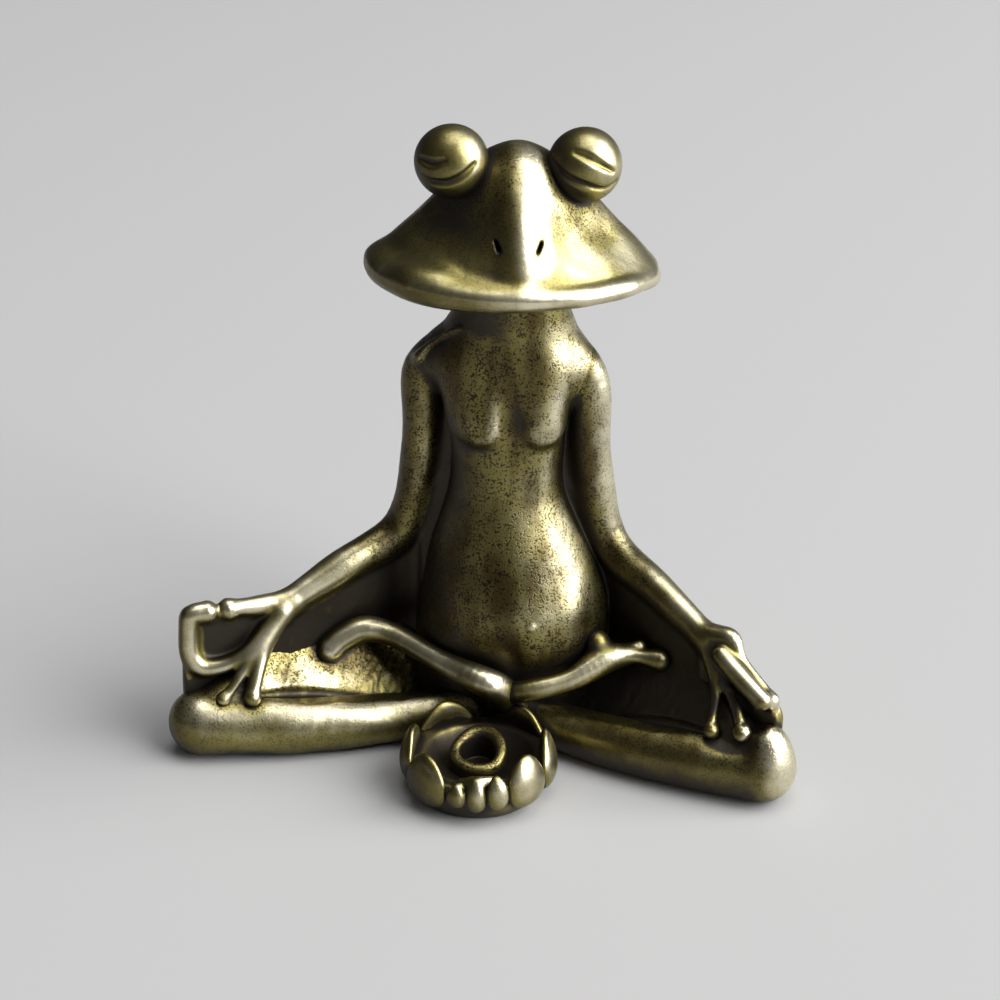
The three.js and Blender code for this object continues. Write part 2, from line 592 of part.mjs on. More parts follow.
// Petals from the back round to the front: [angle from the front, half angle, share of the height].
const petals = [
  [-155, 24, 1], [155, 24, 1], [-102, 27, 0.95], [100, 27, 1.05],
  [-48, 25, 0.95], [46, 25, 1], [-11, 10, 0.8], [11, 10, 0.8],
];
petals.forEach(([angle, halfAngle, share], count) => {
  const [turn, halfTurn] = [angle, halfAngle].map(THREE.MathUtils.degToRad);
  const leaf = petal(turn, halfTurn, share * PETAL_HEIGHT);
  addPiece(`lotus_petal_${count + 1}`, seated(leaf, trunkRoom, legRoom, footRoom), brass);
});

export default holder;
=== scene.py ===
import math

import bpy
import numpy as np
from mathutils import Matrix, Vector


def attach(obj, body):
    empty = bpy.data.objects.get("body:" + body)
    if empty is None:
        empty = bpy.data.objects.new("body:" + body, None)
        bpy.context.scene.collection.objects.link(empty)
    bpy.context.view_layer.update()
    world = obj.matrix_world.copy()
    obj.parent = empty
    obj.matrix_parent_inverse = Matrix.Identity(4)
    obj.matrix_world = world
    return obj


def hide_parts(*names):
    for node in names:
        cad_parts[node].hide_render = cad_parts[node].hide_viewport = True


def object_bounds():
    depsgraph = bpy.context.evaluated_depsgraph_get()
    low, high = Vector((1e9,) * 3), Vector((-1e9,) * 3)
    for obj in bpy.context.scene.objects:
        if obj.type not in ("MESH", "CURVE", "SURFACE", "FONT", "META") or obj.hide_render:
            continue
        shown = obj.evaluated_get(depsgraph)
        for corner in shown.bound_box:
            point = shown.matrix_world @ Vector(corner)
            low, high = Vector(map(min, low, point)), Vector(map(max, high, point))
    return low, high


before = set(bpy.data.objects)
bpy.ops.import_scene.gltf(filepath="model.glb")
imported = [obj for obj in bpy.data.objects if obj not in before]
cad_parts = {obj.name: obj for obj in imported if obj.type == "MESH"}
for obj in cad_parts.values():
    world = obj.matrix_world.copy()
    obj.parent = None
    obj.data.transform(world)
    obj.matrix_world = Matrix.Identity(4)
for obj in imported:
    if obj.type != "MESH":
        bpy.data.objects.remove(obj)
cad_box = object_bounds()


# Torso: neck, chest, belly and rump of the frog in one solid piece, flat underneath. It is modelled
# in wax, cast in brass and rubbed down, so one form runs softly into the next. A block of wax holds
# the distance to the modelled surface at each point of a grid, and the casting is the skin of that.

MM = 0.001
# The distance that stands for nothing near, and how far round a roll its distances are worked out.
FAR = 9.0
REACH = 1.6


def melt(one, other, soft):
    """Smooth minimum of two distances: where they differ by less than soft, a parabola fills the
    crease between the two forms, as a finger does between two pieces of wax."""
    near = np.maximum(soft - np.abs(one - other), 0) / soft
    return np.minimum(one, other) - near * near * soft / 4


def trim(form, limit, soft):
    """Keeps what lies inside both: the smooth maximum of two distances."""
    return -melt(-form, -limit, soft)


def carve(form, tool, soft):
    """Cuts a tool out of a form: the smooth maximum of the form and the tool turned inside out."""
    return -melt(-form, tool, soft)


def smooth_path(stations, steps):
    """Catmull-Rom curve through the rows of stations: a cubic for each span, whose slope at a station
    points from the row before it to the row after it."""
    rows = np.array(stations, float)
    padded = np.vstack([2 * rows[0] - rows[1], rows, 2 * rows[-1] - rows[-2]])
    before, start, end, after = (padded[k:len(padded) - 3 + k, None] for k in range(4))
    t = np.linspace(0, 1, steps, endpoint=False)[:, None]
    cubic = 3 * (start - end) + after - before
    square = 2 * before - 5 * start + 4 * end - after
    spans = start + 0.5 * t * (end - before + t * (square + t * cubic))
    return np.vstack([spans.reshape(-1, rows.shape[1]), rows[-1:]])


def oval(offsets, halves):
    """Distance to an oval ball: k (k - 1) / q, with k the offset's length measured in half sizes and
    q its length measured in squared half sizes. Both are kept from nought."""
    least = 1e-3
    k = np.sqrt(sum((offset / half) ** 2 for offset, half in zip(offsets, halves)))
    q = np.sqrt(sum((offset / half ** 2) ** 2 for offset, half in zip(offsets, halves)))
    k = np.maximum(k, least)
    return k * (k - 1) / np.maximum(q, least / halves[-1])


class Wax:
    """A block of wax in millimetres: a grid from one corner to the other, as fine as its grain."""

    def __init__(self, low, high, grain):
        self.low = np.array(low, float)
        self.grain = grain
        self.shape = tuple(np.ceil((np.array(high) - self.low) / grain).astype(int) + 1)
        axes = [np.float32(start + grain * np.arange(count)) for start, count in zip(self.low, self.shape)]
        self.x, self.y, self.z = np.meshgrid(*axes, indexing="ij", sparse=True)

    def window(self, low, high):
        """The slices of the grid that lie between two corners."""
        first = np.maximum(np.floor((low - self.low) / self.grain), 0).astype(int)
        last = np.maximum(np.ceil((high - self.low) / self.grain) + 1, first).astype(int)
        return tuple(slice(start, stop) for start, stop in zip(first, last))

    def columns(self, window):
        """The x, y and z of the grid points in a window."""
        return self.x[window[0]], self.y[:, window[1]], self.z[:, :, window[2]]

    def roll(self, stations, upward=(0, 0, 1), steps=6):
        """A rolled form: the oval section of the stations, [x, y, z, half width, half height], carried
        along the smooth path through them. Half the height is measured towards the upward hint."""
        rows = [[*row, row[3]] if len(row) == 4 else row for row in stations]
        path = smooth_path(rows, steps)
        form = np.full(self.shape, FAR, np.float32)
        for start, end in zip(path[:-1], path[1:]):
            reach = max(start[3:].max(), end[3:].max()) + REACH
            corners = np.minimum(start, end)[:3] - reach, np.maximum(start, end)[:3] + reach
            window = self.window(*corners)
            if form[window].size:
                form[window] = np.minimum(form[window], self.stretch(start, end, upward, window))
        return form

    def stretch(self, start, end, upward, window):
        """Distance to a short straight stretch of a roll: that of an oval ball round the nearest point
        of its axis, whose half sizes change evenly from the start to the end."""
        axis = end[:3] - start[:3]
        length = np.linalg.norm(axis)
        axis = axis / length
        side = np.cross(axis, upward)
        side = side / np.linalg.norm(side)
        over = np.cross(side, axis)
        offset = [column - begin for column, begin in zip(self.columns(window), start)]
        along, across, up = (sum(o * d for o, d in zip(offset, unit)) for unit in (axis, side, over))
        share = np.clip(along / length, 0, 1)
        wide = start[3] + share * (end[3] - start[3])
        tall = start[4] + share * (end[4] - start[4])
        return oval((across, up, along - share * length), (wide, tall, np.minimum(wide, tall)))

    def ball(self, middle, halves, turn=0):
        """An oval ball, turned about the upright axis through its middle by an angle in degrees."""
        dx, dy, dz = self.x - middle[0], self.y - middle[1], self.z - middle[2]
        c, s = math.cos(math.radians(turn)), math.sin(math.radians(turn))
        return oval((dx * c + dy * s, dy * c - dx * s, dz), halves)

    def evened(self, form, least=0.05):
        """A form whose values grow unevenly is divided by its own slope, which makes them distances."""
        slope = np.sqrt(sum(part * part for part in np.gradient(form, self.grain)))
        return form / np.maximum(slope, least)

    def stack(self, levels, blunt=0, least=0.1):
        """Level outlines laid over each other. Each row is [height, middle x, middle y, half width,
        reach forward, reach back, power of the front]: (x / width)^p + (y / reach)^p = 1, and the rows
        are joined smoothly from one height to the next. Blunt rounds the corner that a low power makes."""
        rows = smooth_path(levels, steps=12)
        columns = [np.float32(np.interp(self.z, rows[:, 0], rows[:, k])) for k in range(1, 7)]
        middle_x, middle_y = columns[:2]
        wide, front, back, power = (np.maximum(column, least) for column in columns[2:])
        ahead = self.y - middle_y
        reach = np.where(ahead < 0, front, back)
        power = np.where(ahead < 0, power, 2)
        across = (np.hypot(self.x - middle_x, blunt) - blunt) / (np.hypot(wide, blunt) - blunt)
        form = self.evened((across ** power + (np.abs(ahead) / reach) ** power) ** (1 / power) - 1)
        return np.maximum(form, np.maximum(rows[0, 0] - self.z, self.z - rows[-1, 0]))

    def plate(self, start, end, low, tops, thickness):
        """An upright plate over the line between two points of the plan. Its top edge runs straight
        from one height to the other, its far corner is rounded, and so are its edges."""
        line = np.array(end, float) - start
        length = np.hypot(*line)
        line = line / length
        dx, dy = self.x - start[0], self.y - start[1]
        along = dx * line[0] + dy * line[1]
        across = np.abs(dy * line[0] - dx * line[1]) - thickness / 2
        top = tops[0] + (tops[1] - tops[0]) * np.clip(along / length, 0, 1)
        outer = -melt(length - along, top - self.z, soft=1.0)
        sides = np.maximum(np.maximum(-along, low - self.z), outer)
        return trim(across, sides, soft=0.3)

    def sample(self, form, places):
        """The form between grid points, weighted from the eight round each place (in grid steps)."""
        just_inside = 1.001
        places = np.clip(places, 0, np.array(self.shape) - just_inside)
        cell = places.astype(int)
        share = places - cell
        total = 0
        for corner in np.ndindex(2, 2, 2):
            weight = np.prod(np.where(corner, share, 1 - share), axis=1)
            total = total + weight * form[tuple((cell + corner).T)]
        return total

    def skin(self, form, pulls=3, half_step=0.5):
        """The skin of a form: each grid cell that the surface passes through gets one point, the mean
        of the places where the surface crosses the cell's edges, which a few pulls along the slope then
        draw onto the surface. Each crossed edge gets a face between the four cells round it."""
        form = np.pad(form[1:-1, 1:-1, 1:-1], 1, constant_values=self.grain)
        cells = np.array(self.shape) - 1
        keys, crossings, faces = [], [], []
        for axis in range(3):
            first = np.moveaxis(form, axis, 0)
            low, high = first[:-1], first[1:]
            spots = np.argwhere((low < 0) != (high < 0))
            below, above = low[tuple(spots.T)], high[tuple(spots.T)]
            place = spots.astype(float)
            place[:, 0] += below / (below - above)
            order = np.argsort([axis, *[k for k in range(3) if k != axis]])
            spots, place = spots[:, order], place[:, order]
            one, two = np.eye(3, dtype=int)[[(axis + 1) % 3, (axis + 2) % 3]]
            round_edge = [spots, spots - one, spots - one - two, spots - two]
            ring = np.stack([np.ravel_multi_index(tuple(cell.T), cells) for cell in round_edge], axis=1)
            keys.append(ring.ravel())
            crossings.append(np.repeat(place, 4, axis=0))
            faces.append(np.where((below < 0)[:, None], ring, ring[:, ::-1]))
        used, numbers = np.unique(np.concatenate(keys), return_inverse=True)
        crossings = np.concatenate(crossings)
        counts = np.bincount(numbers)
        points = np.stack([np.bincount(numbers, crossings[:, k]) / counts for k in range(3)], axis=1)
        steps = half_step * np.eye(3)
        for _ in range(pulls):
            ahead, behind = ([self.sample(form, points + way * step) for step in steps] for way in (1, -1))
            slope = np.stack(ahead, axis=1) - np.stack(behind, axis=1)
            pull = self.sample(form, points) / np.maximum((slope ** 2).sum(axis=1), 1e-6)
            points = points - np.clip(pull[:, None] * slope, -half_step, half_step)
        return points, self.largest(np.searchsorted(used, np.concatenate(faces)), len(points))

    def largest(self, faces, count):
        """The faces of the largest island: each point takes the lowest number among its neighbours until
        nothing changes, so that every island ends with one number."""
        label = np.arange(count)
        while True:
            lowest = label[faces].min(axis=1)
            fresh = label.copy()
            np.minimum.at(fresh, faces.ravel(), np.repeat(lowest, 4))
            fresh = fresh[fresh]
            if np.array_equal(fresh, label):
                return faces[label[faces[:, 0]] == np.bincount(label).argmax()]
            label = fresh


castings = []
HAND_WAVE = 0.02
# Share of the pits that stay on a well rubbed piece, and on one that is rubbed little.
FEW_PITS = 0.25
ALL_PITS = 1.0
# A place is bright where dull and painted shade are below the first value, polished (at some places a
# painted highlight) where they are below the second, and beyond these the effect grows at the third.
BRIGHT_BELOW = 0.1
POLISH_AND_HIGHLIGHT_BELOW = -0.06
RUB_RISE = 2.0


def cast(node, wax, form, place=Matrix.Identity(4), pitted=lambda points: FEW_PITS, dull_and_shade=None):
    """Casts a form in brass: its skin becomes the mesh that stands for a node of the frame. The place
    turns and moves the block of wax to its seat, and what has none is ground flat underneath. Three slow
    waves keep a slight unevenness of the hand. Pitted gives the share of the pits that the rubbing down
    leaves at its points. Dull and shade is a grid, such as the distance in millimetres from what is rubbed:
    above nought a place stays dull, and at some places takes painted shade; below nought it is polished,
    and at some places takes a painted highlight."""
    waves = np.sin(0.9 * wax.x + 1.7 * wax.y) + np.sin(1.3 * wax.y - 0.8 * wax.z)
    waves = waves + np.sin(1.1 * wax.z + 0.6 * wax.x)
    form = form + np.float32(HAND_WAVE) * waves
    if place.translation.z == 0:
        form = np.maximum(form, -wax.z)
    spots, faces = wax.skin(form)
    kept, corners = np.unique(faces, return_inverse=True)
    spots, faces = spots[kept], corners.reshape(-1, 4)
    points = (wax.low + wax.grain * spots) @ np.array(place.to_3x3()).T + np.array(place.translation)
    mesh = bpy.data.meshes.new(node)
    mesh.vertices.add(len(points))
    mesh.vertices.foreach_set("co", np.float32(MM * points).ravel())
    mesh.loops.add(faces.size)
    mesh.loops.foreach_set("vertex_index", np.int32(faces).ravel())
    mesh.polygons.add(len(faces))
    mesh.polygons.foreach_set("loop_start", np.arange(0, faces.size, 4, dtype=np.int32))
    mesh.polygons.foreach_set("use_smooth", np.ones(len(faces), bool))
    mesh.update(calc_edges=True)
    piece = bpy.data.objects.new("cast_" + node, mesh)
    bpy.context.scene.collection.objects.link(piece)
    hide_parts(node)
    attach(piece, "root")
    castings.append((piece, wax, form, place))
    # Above nought the grid darkens a place and below nought it brightens it: dull and polish, and at some
    # places painted shade and painted highlight.
    depth = 0 if dull_and_shade is None else wax.sample(dull_and_shade, spots)
    dulling_and_shading = np.clip(RUB_RISE * (depth - BRIGHT_BELOW), 0, 1)
    dulling_and_shading = dulling_and_shading + RUB_RISE * np.minimum(depth - POLISH_AND_HIGHLIGHT_BELOW, 0)
    for name, values in (("pitted", pitted(points)), ("dull_and_shade", dulling_and_shading)):
        spread = np.float32(np.broadcast_to(values, len(points)))
        mesh.attributes.new(name, "FLOAT", "POINT").data.foreach_set("value", spread)


# Levels of the trunk: height, middle x and y, half width, reach forward, reach back, power.
TRUNK_LEVELS = [
    [-1.0, 0.1, 0.5, 6.0, 4.6, 5.0, 2],
    [1.5, 0.2, 0.4, 6.4, 4.7, 5.2, 2],
    [5.0, 0.5, 0.1, 6.5, 5.1, 5.2, 2],
    [9.6, 0.8, -0.5, 6.3, 5.3, 5.0, 2],
    [13.5, 0.45, -0.2, 5.2, 4.5, 4.2, 2],
    [17.6, 0.15, 0.0, 3.75, 3.5, 3.5, 2],
    [21.0, 0.1, 0.0, 3.75, 3.35, 3.4, 2.4],
    [22.4, 0.1, 0.05, 4.0, 3.45, 3.4, 2.8],
    [24.2, 0.1, 0.1, 4.3, 3.5, 3.3, 2.8],
    [26.6, 0.05, 0.2, 5.3, 3.35, 3.2, 2.4],
    [28.8, 0.2, 0.2, 4.3, 3.1, 3.1, 2.1],
    [30.6, 0.35, 0.1, 3.5, 3.1, 3.2, 2],
    [32.6, 0.35, 0.1, 3.35, 3.2, 3.2, 2],
]
CHEST_MIDDLE = 0.1
CHEST_TURN = math.radians(12)
BREAST_APART = 2.15
BREAST_HALF = 1.6
BREAST_ROUND = 1.5
BREAST_LOW = 21.3
# Heights, and how far the breasts stand proud of the chest there.
BREAST_PROUD = [23.0, 27.0], [0.42, -0.2]
# Marks pressed into the wax or laid on it: x, y, z and radius along a path.
BREAST_VALLEY = [[0.9, -3.75, 21.6, 0.35], [0.85, -3.75, 23.6, 0.5], [0.7, -3.75, 26.0, 0.3]]
SPINE_FURROW = [[0.3, 5.6, 9, 0.5], [0.1, 3.9, 17, 0.4], [0.1, 3.7, 25, 0.4]]
SCAR_EDGE = [
    [-5.55, -1.1, 26.7, 0.12], [-5.05, -1.1, 27.35, 0.18], [-4.45, -1.2, 27.95, 0.15],
    [-3.6, -1.55, 28.65, 0.18], [-2.8, -2.0, 29.2, 0.1],
]
# Oval balls: middle and half sizes.
SCAR_HOLLOW = (-5.05, -2.15, 28.8), (1.5, 1.4, 1.3)
NAVEL = (2.55, -5.4, 9.75), (0.32, 0.28, 0.28)
BACKWARD = (0, 1, 0)


def trunk_form(wax):
    """The trunk: stacked levels with two flat breasts, which are offset from the chest by a little and
    end below in round corners, a shallow furrow down the back, a scar on the right shoulder and a navel."""
    form = wax.stack(TRUNK_LEVELS)
    across = np.abs((wax.x - CHEST_MIDDLE) * math.cos(CHEST_TURN) + wax.y * math.sin(CHEST_TURN))
    corner = np.maximum(np.abs(across - BREAST_APART) - BREAST_HALF + BREAST_ROUND, 0)
    below = np.maximum(BREAST_LOW + BREAST_ROUND - wax.z, 0)
    edge = np.hypot(corner, below) - BREAST_ROUND
    proud = np.float32(np.interp(wax.z, *BREAST_PROUD))
    pads = trim(form - proud, edge, soft=1.1)
    form = melt(form, np.maximum(pads, wax.y), soft=0.3)
    form = carve(form, wax.roll(BREAST_VALLEY, BACKWARD), soft=0.6)
    form = carve(form, wax.roll(SPINE_FURROW, BACKWARD), soft=0.8)
    form = carve(form, wax.ball(*SCAR_HOLLOW), soft=0.3)
    form = melt(form, wax.roll(SCAR_EDGE), soft=0.12)
    return melt(form, wax.ball(*NAVEL), soft=0.2)


# Arms: each hangs from the shoulder, bends at the elbow and reaches out over the thigh to the knee.
# A thin web of metal left by the mould fills the gaps behind it. The shoulder is worked into the trunk,
# so the trunk is cast here too.

ELBOW = np.array([7.05, 0.8, 13.4])
WRIST = np.array([14.0, -4.5, 9.6])
# Stations of the arm: out from the middle, y, z, radius. Both shoulders lie a little to the right.
ARM = [
    [4.2, 0.3, 26.3, 1.35],
    [5.4, 0.3, 24.9, 1.45],
    [5.75, 0.55, 19.2, 1.3],
    [*ELBOW, 1.3],
    [*(0.5 * (ELBOW + WRIST)), 1.15],
    [*WRIST, 0.85],
]
ARM_SHIFTS = [-0.1, -0.1, 0, 0, 0, 0]
ARM_UPWARD = (0, 1, 0.3)
WEB = 0.9
WEB_LOW = 2.5
FLANK_OUT = 5.6
FLANK_BACK = 0.6
FLANK_TOPS = (26, 25)
ELBOW_WEB_TOP = 24


def arm_roll(wax, side):
    """The arm alone: a roll from inside the shoulder over the elbow to the wrist."""
    stations = [
        [side * out + shift, y, z, girth] for (out, y, z, girth), shift in zip(ARM, ARM_SHIFTS)
    ]
    return wax.roll(stations, ARM_UPWARD)


def arm_form(wax, side):
    """The arm with its web: two plates between the arm and the trunk, one below the forearm."""
    elbow, wrist = ((side * place[0], place[1]) for place in (ELBOW, WRIST))
    flank = wax.plate((0, FLANK_BACK), (side * FLANK_OUT, FLANK_BACK), WEB_LOW, FLANK_TOPS, WEB)
    inner = wax.plate((0, ELBOW[1]), elbow, WEB_LOW, (ELBOW_WEB_TOP, ELBOW[2]), WEB)
    below = wax.plate(elbow, wrist, WEB_LOW, (ELBOW[2], WRIST[2]), WEB)
    web = melt(melt(flank, inner, soft=0.6), below, soft=0.6)
    return melt(arm_roll(wax, side), web, soft=0.5)


LAP = 0.3
DIP = 0.03
# Heights, and how softly arm and trunk run into each other there.
SHOULDER_SOFT = [23.0, 26.0], [0.15, 1.4]


def own_share(whole, own, other):
    """The share that one piece has of a whole of forms that are worked into each other. The pieces part
    where their own forms are equally near. Each runs on a little below the skin of the other."""
    lead = (own - other) / 2
    return np.maximum(whole + DIP * np.clip(lead / LAP, 0, 1), lead - LAP)


def shoulder_softness(wax):
    """The shoulder runs softly into the arm, and below it a sharp cleft parts the arm from the trunk."""
    return np.float32(np.interp(wax.z, *SHOULDER_SOFT))


wax = Wax((-7.4, -6.6, -0.3), (7.9, 6.2, 33.0), grain=0.14)
trunk, arms = trunk_form(wax), np.minimum(arm_form(wax, -1), arm_form(wax, 1))
whole = melt(trunk, arms, soft=shoulder_softness(wax))
torso = np.maximum(own_share(whole, trunk, arms), -wax.z)
cast("torso", wax, torso, pitted=lambda points: ALL_PITS)


# Hands: slim fingers rolled in wax, with round tips, pressed to the wrist. On each hand thumb and first
# finger close to a ring, two more fingers lie on the knee, and a thin web of metal is left behind them.

# Fingers: places outward, forward and up from the wrist, and the radius there.
RIGHT_FINGERS = [
    [[-0.2, -0.1, 0.0, 0.85], [1.6, 1.0, 0.25, 0.72], [2.8, 1.8, 0.45, 0.6], [3.45, 2.1, 0.42, 0.76]],
    [[0.3, 0.6, -0.4, 0.8], [1.8, 2.3, -2.3, 0.6], [3.4, 2.9, -3.3, 0.55], [5.0, 3.2, -3.5, 0.7],
     [5.85, 3.3, -2.5, 0.72], [5.9, 3.25, -0.7, 0.66], [5.65, 3.1, 0.3, 0.7], [4.75, 2.75, 0.45, 0.78]],
    [[0.3, 0.6, -0.4, 0.7], [1.6, 2.3, -2.4, 0.5], [2.9, 3.8, -4.5, 0.36], [3.5, 4.3, -5.2, 0.5]],
    [[0.3, 0.6, -0.4, 0.7], [1.2, 2.2, -2.6, 0.52], [1.5, 3.6, -4.4, 0.45], [1.6, 4.0, -5.1, 0.62]],
]
LEFT_FINGERS = [
    [[-0.2, -0.1, 0.0, 0.85], [0.9, 0.7, 0.4, 0.75], [1.75, 1.2, 0.45, 0.65], [2.4, 1.75, -0.75, 0.5],
     [3.9, 2.7, -2.1, 0.45], [4.5, 3.3, -2.6, 0.62]],
    [[1.15, 1.9, -0.3, 0.68], [1.9, 2.5, -0.85, 0.72], [2.9, 3.3, -1.5, 0.7], [4.0, 4.1, -2.2, 0.66]],
    [[0.2, 0.4, -0.3, 0.7], [0.9, 2.2, -2.5, 0.38], [0.8, 3.3, -4.3, 0.32], [0.8, 3.7, -4.95, 0.54]],
    [[0.2, 0.4, -0.3, 0.7], [1.8, 2.4, -2.5, 0.42], [2.6, 3.5, -4.2, 0.36], [2.8, 3.9, -4.85, 0.68]],
]
FINGER_UPWARD = (0.2, 1, 0.4)
# Webs of the hands, from the wrist: the far end outward and forward, the low edge, and both tops.
RIGHT_WEB = (6.4, 3.3), -6.6, (-0.5, 0.75)
LEFT_WEB = (5.2, 3.3), -6.6, (-0.4, -3.2)
HAND_SOFT = 0.4
# Blocks of wax: the near and the far corner, with x counted outwards.
ARM_BLOCK = (3.0, -6.4, 2.0), (15.6, 2.6, 28.2)
HAND_BLOCK = (12.4, -10.2, 2.6), (21.4, -2.4, 11.2)
# Distances from the middle, and the share of the pits that is left on the arm there.
ARM_PITS = [8, 12.5], [ALL_PITS, FEW_PITS]
# The stems of the left hand's fingers on the knee get painted shade: heights, its strength and the x of
# their end.
STEM_SHADE = [5.2, 5.7, 7.5, 8.2], [0, 0.4, 0.4, 0]
STEM_END = 17.2
SIDES = {"right": -1, "left": 1}


def fingers_form(wax, side):
    """The fingers of a hand: each is a roll from the wrist, and they are melted together."""
    form = np.full(wax.shape, FAR, np.float32)
    for finger in RIGHT_FINGERS if side < 0 else LEFT_FINGERS:
        stations = [
            [side * (WRIST[0] + out), WRIST[1] - ahead, WRIST[2] + up, girth]
            for out, ahead, up, girth in finger
        ]
        form = melt(form, wax.roll(stations, FINGER_UPWARD), soft=0.35)
    return form


def hand_form(wax, side):
    """A hand: its fingers and the plate of the web behind them."""
    (out, ahead), low, tops = RIGHT_WEB if side < 0 else LEFT_WEB
    start = side * WRIST[0], WRIST[1]
    end = side * (WRIST[0] + out), WRIST[1] - ahead
    plate = wax.plate(start, end, WRIST[2] + low, [WRIST[2] + top for top in tops], WEB)
    return melt(fingers_form(wax, side), plate, HAND_SOFT)


def sided_block(block, side, grain):
    """The block of wax for one side of the figure: on the right side its x is turned round."""
    (near, *low), (far, *high) = block
    first, last = sorted((side * near, side * far))
    return Wax((first, *low), (last, *high), grain)


def pits_down_the_arm(points):
    """Fewer pits are left towards the wrist."""
    return np.interp(np.abs(points[:, 0]), *ARM_PITS)


for name, side in SIDES.items():
    wax = sided_block(ARM_BLOCK, side, grain=0.13)
    arm, trunk, hand = arm_form(wax, side), trunk_form(wax), hand_form(wax, side)
    whole = melt(melt(arm, trunk, soft=shoulder_softness(wax)), hand, HAND_SOFT)
    own = own_share(whole, arm, np.minimum(trunk, hand))
    cast(name + "_arm", wax, own, pitted=pits_down_the_arm, dull_and_shade=arm_roll(wax, side))
    wax = sided_block(HAND_BLOCK, side, grain=0.09)
    arm, hand = arm_form(wax, side), hand_form(wax, side)
    dull_and_shade = np.minimum(fingers_form(wax, side), arm_roll(wax, side))
    if name == "left":
        # Painted shade on the finger stems below the thumb.
        stems = np.interp(wax.z, *STEM_SHADE) * np.clip(STEM_END - wax.x, 0, 1)
        dull_and_shade = np.maximum(dull_and_shade, np.float32(stems))
    cast(name + "_hand", wax, own_share(melt(arm, hand, HAND_SOFT), hand, arm), dull_and_shade=dull_and_shade)


# Legs: thigh and folded shin of each leg in one piece, flat underneath. The top of the thigh is pared
# flat with a knife and slopes to the front, and a groove parts it from the shin, which has a narrow
# flat along its top. The left knee is built up and has a hollow under the fingers.

LEG_SHIFT = -0.4
HIP = np.array([4.5, 2.0, 3.1])
KNEE = np.array([18.7, -8.3, 2.2])
# Stations of thigh, shin and groove: out, y, z, half width and half height.
THIGH = [[*HIP, 3.3], [10.3, -2.5, 2.5, 3.2, 4.2], [14.6, -5.3, 2.4, 2.6, 4.1], [*KNEE, 2.05]]
SHIN = [[*KNEE, 2.25], [11.6, -6.9, 1.85, 1.95], [5.6, -4.8, 1.8, 1.6], [1.4, -3.4, 2.5, 1.45]]
GROOVE = [
    [15.6, -8.0, 4.25, 0.2], [12.2, -6.05, 3.75, 0.3], [9.0, -4.65, 2.95, 0.3], [7.0, -3.9, 2.5, 0.25],
]
PARING_TOP = 6.6
PARING_SLOPE = 1.5
DENT = 0.028
# The flat along the shin: places outward, the height that counts as crest there, how deep the cut goes,
# and the upward and backward share of the way that it faces.
SHIN_CREST = [1.4, 5.6, 11.6, 15.0, 18.7], [3.95, 3.4, 3.8, 4.3, 6.0]
SHIN_PARING = 0.18
FLAT_UP = 0.985
FLAT_BACK = 0.17
KNEE_MOUND = (18.6, -8.5, 3.4), (1.5, 1.6, 2.0)
KNEE_HOLLOW = (15.6, -9.3, 4.75), (1.95, 0.95, 1.0), -15
LEG_BLOCK = (-1.6, -11.2, -0.3), (22.2, 5.8, 6.8)
# Painted shade: on the pared thigh, on the shin's flat with its rise and margin, in the hollow with its
# reach.
PARED_SHADE = 0.3
FLAT_SHADE = 0.4
FLAT_RISE = 3
FLAT_MARGIN = 0.1
HOLLOW_SHADE = 0.4
HOLLOW_REACH = 0.45
# Polish all over the right leg, and a painted highlight on the left knee by x.
RIGHT_LEG_POLISH = -0.15
KNEE_HIGHLIGHT = [17.0, 18.8], [0, -0.3]
# Heights, and the share of the pits that is left on the leg there.
LEG_PITS = [2.5, 4.5], [0.4, ALL_PITS]


def knife_dents(wax):
    """Uneven marks of the knife: the product of two waves, whose phases drift with two slower ones."""
    drift = 2.6 * np.sin(1.9 * wax.x + 1.1 * wax.z) + 2.2 * np.sin(1.3 * wax.x - 2.6 * wax.z)
    return np.sin(4.5 * wax.x + 2 * wax.y + drift) * np.sin(6 * wax.z - 2.5 * wax.x + 1.6 * drift)


